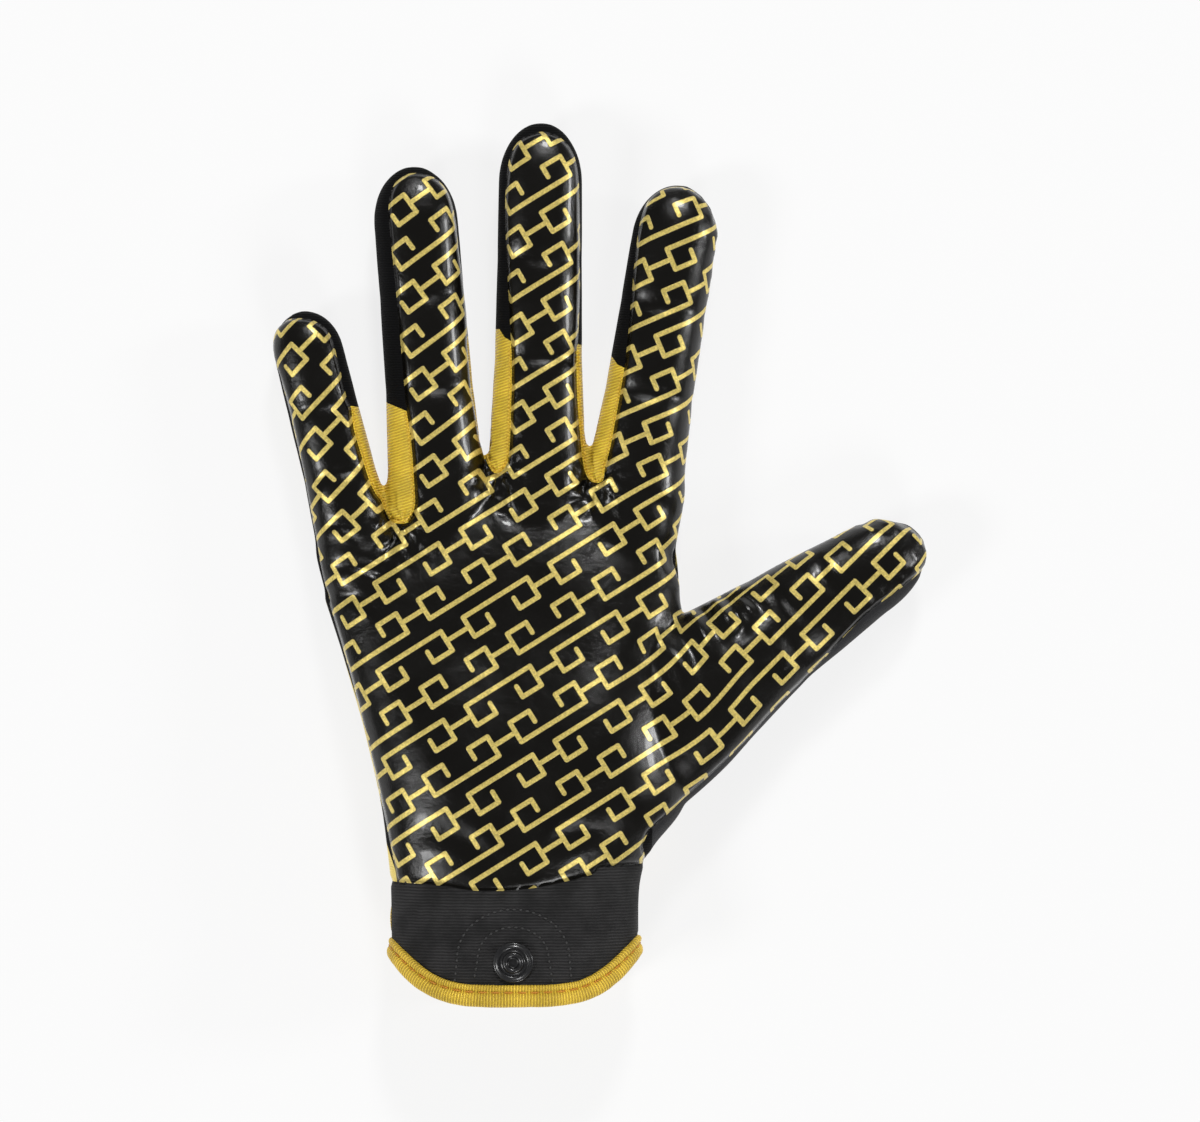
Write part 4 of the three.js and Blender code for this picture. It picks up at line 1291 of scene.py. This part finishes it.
class GLOVE_OT_strap(bpy.types.Operator):
    """Builds the wrist strap, its binding and the binding's stitches"""

    bl_idname = "glove.strap"
    bl_label = "Wrist Strap"

    def execute(self, context):
        colors, sizes = context.scene.glove_colors, context.scene.glove_sizes
        under = prism([(-FAR, -FAR), (FAR, -FAR), (FAR, FAR), (-FAR, FAR)], 0.0, STRAP_DEPTH)
        wall = boolean(hand_wall(0.25, 2.4), under, "INTERSECT")
        boolean(wall, beyond_hem(5.0), "INTERSECT")
        space = prism(strap_outline(STRAP_BINDING_WIDTH + 0.1, 0.0))
        field = boolean(duplicate(wall, "strap_field"), space, "INTERSECT")
        soften(field, 0.4, 3)
        keep_above(field, 0.4)
        cloth = smooth_plain("strap_cloth", colors.strap_color, 0.62, 0.08, 2.6)
        finish_piece(field, "strap", cloth, 60.0)
        edge = strap_outline(0.0, 0.0)
        boolean(wall, prism(edge), "INTERSECT")
        boolean(wall, prism(strap_outline(STRAP_BINDING_WIDTH, STRAP_BINDING_WIDTH)), "DIFFERENCE")
        binding = finish_binding(wall, "strap_binding", 0.42, 0.22, edge, colors)
        for inset in (1.1, 3.4):
            line = catmull(strap_outline(inset, -inset), 4)[:-4]
            path, outward = on_surface(binding, line, downwards=False)
            stitches(f"strap_stitches_{inset:.0f}", path, outward, binding_seam(sizes), colors.thread_color)
        return {"FINISHED"}


class GLOVE_OT_slit(bpy.types.Operator):
    """Builds the loop of binding round the slit at the wrist, and its stitches"""

    bl_idname = "glove.slit"
    bl_label = "Slit Binding"

    def execute(self, context):
        colors, sizes = context.scene.glove_colors, context.scene.glove_sizes
        outer = glove_form("slit_wall", 0.7, 0.8, 2)
        wall = boolean(outer, glove_form("slit_core", -WALL - 0.5, 0.8, 2), "DIFFERENCE")
        boolean(wall, prism(slit_outline(SLIT_BINDING_WIDTH), 0.0, SLIT_DEPTH), "INTERSECT")
        edge = slit_outline(0.0)
        boolean(wall, prism(edge), "DIFFERENCE")
        ring = finish_binding(wall, "slit_binding", 0.3, 0.0, np.vstack([edge, edge[:1]]), colors)
        path, outward = on_surface(ring, slit_outline(SLIT_BINDING_WIDTH - 1.5), downwards=False)
        stitches("slit_stitches", path, outward, binding_seam(sizes), colors.thread_color)
        return {"FINISHED"}


# Press stud in section: distance from its axis and height over its foot
STUD_PROFILE = [
    (0.0, 0.75), (0.95, 0.75), (1.3, 0.95), (1.4, 1.55), (1.75, 1.85), (2.2, 1.88), (2.5, 1.6), (2.65, 1.05),
    (2.95, 0.85), (3.3, 0.88), (3.55, 1.08), (3.9, 1.15), (4.2, 1.0), (4.45, 0.95), (4.75, 0.85), (4.9, 0.5),
    (4.8, 0.0),
]
STUD_SINK = 0.6


# Rows of stitches round the stud: radius of the arch and length of its legs
CUFF_ARCHES = [(8.6, 6.0), (13.6, 9.5)]
CUFF_ARCH_PLACE = 11.5


class GLOVE_OT_stud(bpy.types.Operator):
    """Builds the press stud and the rows of stitches round it"""

    bl_idname = "glove.stud"
    bl_label = "Press Stud"

    def execute(self, context):
        colors, sizes = context.scene.glove_colors, context.scene.glove_sizes
        low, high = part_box("press_stud")
        centre = Vector(((low.x + high.x) / 2, (low.y + high.y) / 2, low.z - STUD_SINK * MM))
        profile = catmull(STUD_PROFILE, 3) * MM
        data = bpy.data.meshes.new("stud")
        points = [(centre.x + r, centre.y, centre.z + z) for r, z in profile]
        data.from_pydata(points, [(i, i + 1) for i in range(len(points) - 1)], [])
        stud = bpy.data.objects.new("press_stud_cap", data)
        context.scene.collection.objects.link(stud)
        choose(stud)
        bpy.ops.object.mode_set(mode="EDIT")
        bpy.ops.mesh.select_all(action="SELECT")
        bpy.ops.mesh.spin(steps=72, angle=2 * math.pi, center=centre, axis=(0, 0, 1))
        bpy.ops.mesh.select_all(action="SELECT")
        bpy.ops.mesh.remove_doubles(threshold=1e-6)
        face_outwards(stud)
        lacquer = smooth_plain("stud_metal", colors.stud_color, 0.32, 0.02, 1.5, **{"Coat Weight": 0.3})
        finish_piece(stud, "press_stud", lacquer, 40.0)
        cuff = bpy.data.objects["cuff_cloth"]
        thread = toned(colors.cuff_color, 1.9)
        for row, (radius, drop) in enumerate(CUFF_ARCHES):
            arch = arc(radius, 0, 180, 40, 0.0, CUFF_ARCH_PLACE, 0.86)
            legs = np.linspace(0, 1, 8)[1:, None]
            right = arch[0] + legs * (1.0, -drop)
            left = arch[-1] + legs * (-1.0, -drop)
            path, outward = on_surface(cuff, np.vstack([right[::-1], arch, left]))
            stitches(f"cuff_stitches_{row}", path, outward, CUFF_SEAM, thread)
        return {"FINISHED"}


# Camera's lens and sensor in millimetres, and the height of the glove's middle in metres
CAMERA_LENS = 200.0
CAMERA_SENSOR = 36.0
GLOVE_MIDDLE = 0.018

# Light from the paper floor itself, its grey, and light from all round
FLOOR_GLOW = 0.81
FLOOR_GREY = (0.15, 0.15, 0.15, 1)
SKY_LIGHT = 0.17
WHITE = (1, 1, 1, 1)

# Lamps: name, place, width and power
LAMPS = [
    ("top", (0.3, 2.2, 1.9), 0.4, 39.0),
    ("right", (2.7, 0.35, 1.2), 0.45, 29.0),
    ("left", (-2.2, -0.9, 2.0), 0.7, 41.0),
    ("bottom", (0.7, -2.3, 1.9), 0.7, 27.0),
]


class GLOVE_OT_stage(bpy.types.Operator):
    """Sets up the floor, the lights and the camera"""

    bl_idname = "glove.stage"
    bl_label = "Stage"

    def execute(self, context):
        sizes = context.scene.glove_sizes
        deselect()
        bpy.ops.mesh.primitive_plane_add(size=2 * sizes.floor_reach, location=(0, 0, 0))
        floor = context.object
        floor.name = "floor"
        paper = bpy.data.materials.new("floor")
        paper.use_nodes = True
        shader = paper.node_tree.nodes["Principled BSDF"]
        for label, value in {
            "Base Color": FLOOR_GREY, "Roughness": 0.95, "Specular IOR Level": 0.0,
            "Emission Color": WHITE, "Emission Strength": FLOOR_GLOW,
        }.items():
            shader.inputs[label].default_value = value
        floor.data.materials.append(paper)
        world = bpy.data.worlds.new("studio")
        world.use_nodes = True
        context.scene.world = world
        sky = world.node_tree.nodes["Background"]
        sky.inputs["Color"].default_value = WHITE
        sky.inputs["Strength"].default_value = SKY_LIGHT
        for name, place, width, power in LAMPS:
            bpy.ops.object.light_add(type="AREA", location=place)
            lamp = context.object
            lamp.name = name
            lamp.data.size = width
            lamp.data.energy = power
            lamp.rotation_euler = (-Vector(place)).to_track_quat("-Z", "Y").to_euler()
        distance = sizes.frame_width * CAMERA_LENS / CAMERA_SENSOR
        bpy.ops.object.camera_add(location=(0, 0, distance + GLOVE_MIDDLE))
        camera = context.object
        camera.rotation_euler = (0, 0, 0)
        camera.data.lens = CAMERA_LENS
        camera.data.sensor_width = CAMERA_SENSOR
        camera.data.clip_start = 0.05
        camera.data.clip_end = 50
        context.scene.camera = camera
        context.scene.view_settings.view_transform = "Standard"
        return {"FINISHED"}


class GLOVE_PT_panel(bpy.types.Panel):
    """The glove's operators, colours and sizes"""

    bl_idname = "GLOVE_PT_panel"
    bl_label = "Football Glove"
    bl_space_type = "VIEW_3D"
    bl_region_type = "UI"
    bl_category = "Glove"

    def draw(self, context):
        column = self.layout.column()
        for operator in OPERATORS:
            column.operator(operator.bl_idname)
        for group_name in ("glove_colors", "glove_sizes"):
            values = getattr(context.scene, group_name)
            for key in values.bl_rna.properties.keys():
                if key not in ("name", "rna_type"):
                    column.prop(values, key)


OPERATORS = (GLOVE_OT_panels, GLOVE_OT_hem, GLOVE_OT_strap, GLOVE_OT_slit, GLOVE_OT_stud, GLOVE_OT_stage)
CLASSES = (GloveColors, GloveSizes, *OPERATORS, GLOVE_PT_panel)


def register():
    for cls in CLASSES:
        bpy.utils.register_class(cls)
    bpy.types.Scene.glove_colors = bpy.props.PointerProperty(type=GloveColors)
    bpy.types.Scene.glove_sizes = bpy.props.PointerProperty(type=GloveSizes)


def unregister():
    del bpy.types.Scene.glove_sizes
    del bpy.types.Scene.glove_colors
    for cls in reversed(CLASSES):
        bpy.utils.unregister_class(cls)


def main():
    """Builds the whole glove."""
    register()
    bpy.ops.glove.panels()
    bpy.ops.glove.hem()
    bpy.ops.glove.strap()
    bpy.ops.glove.slit()
    bpy.ops.glove.stud()
    bpy.ops.glove.stage()


if __name__ == "__main__":
    main()
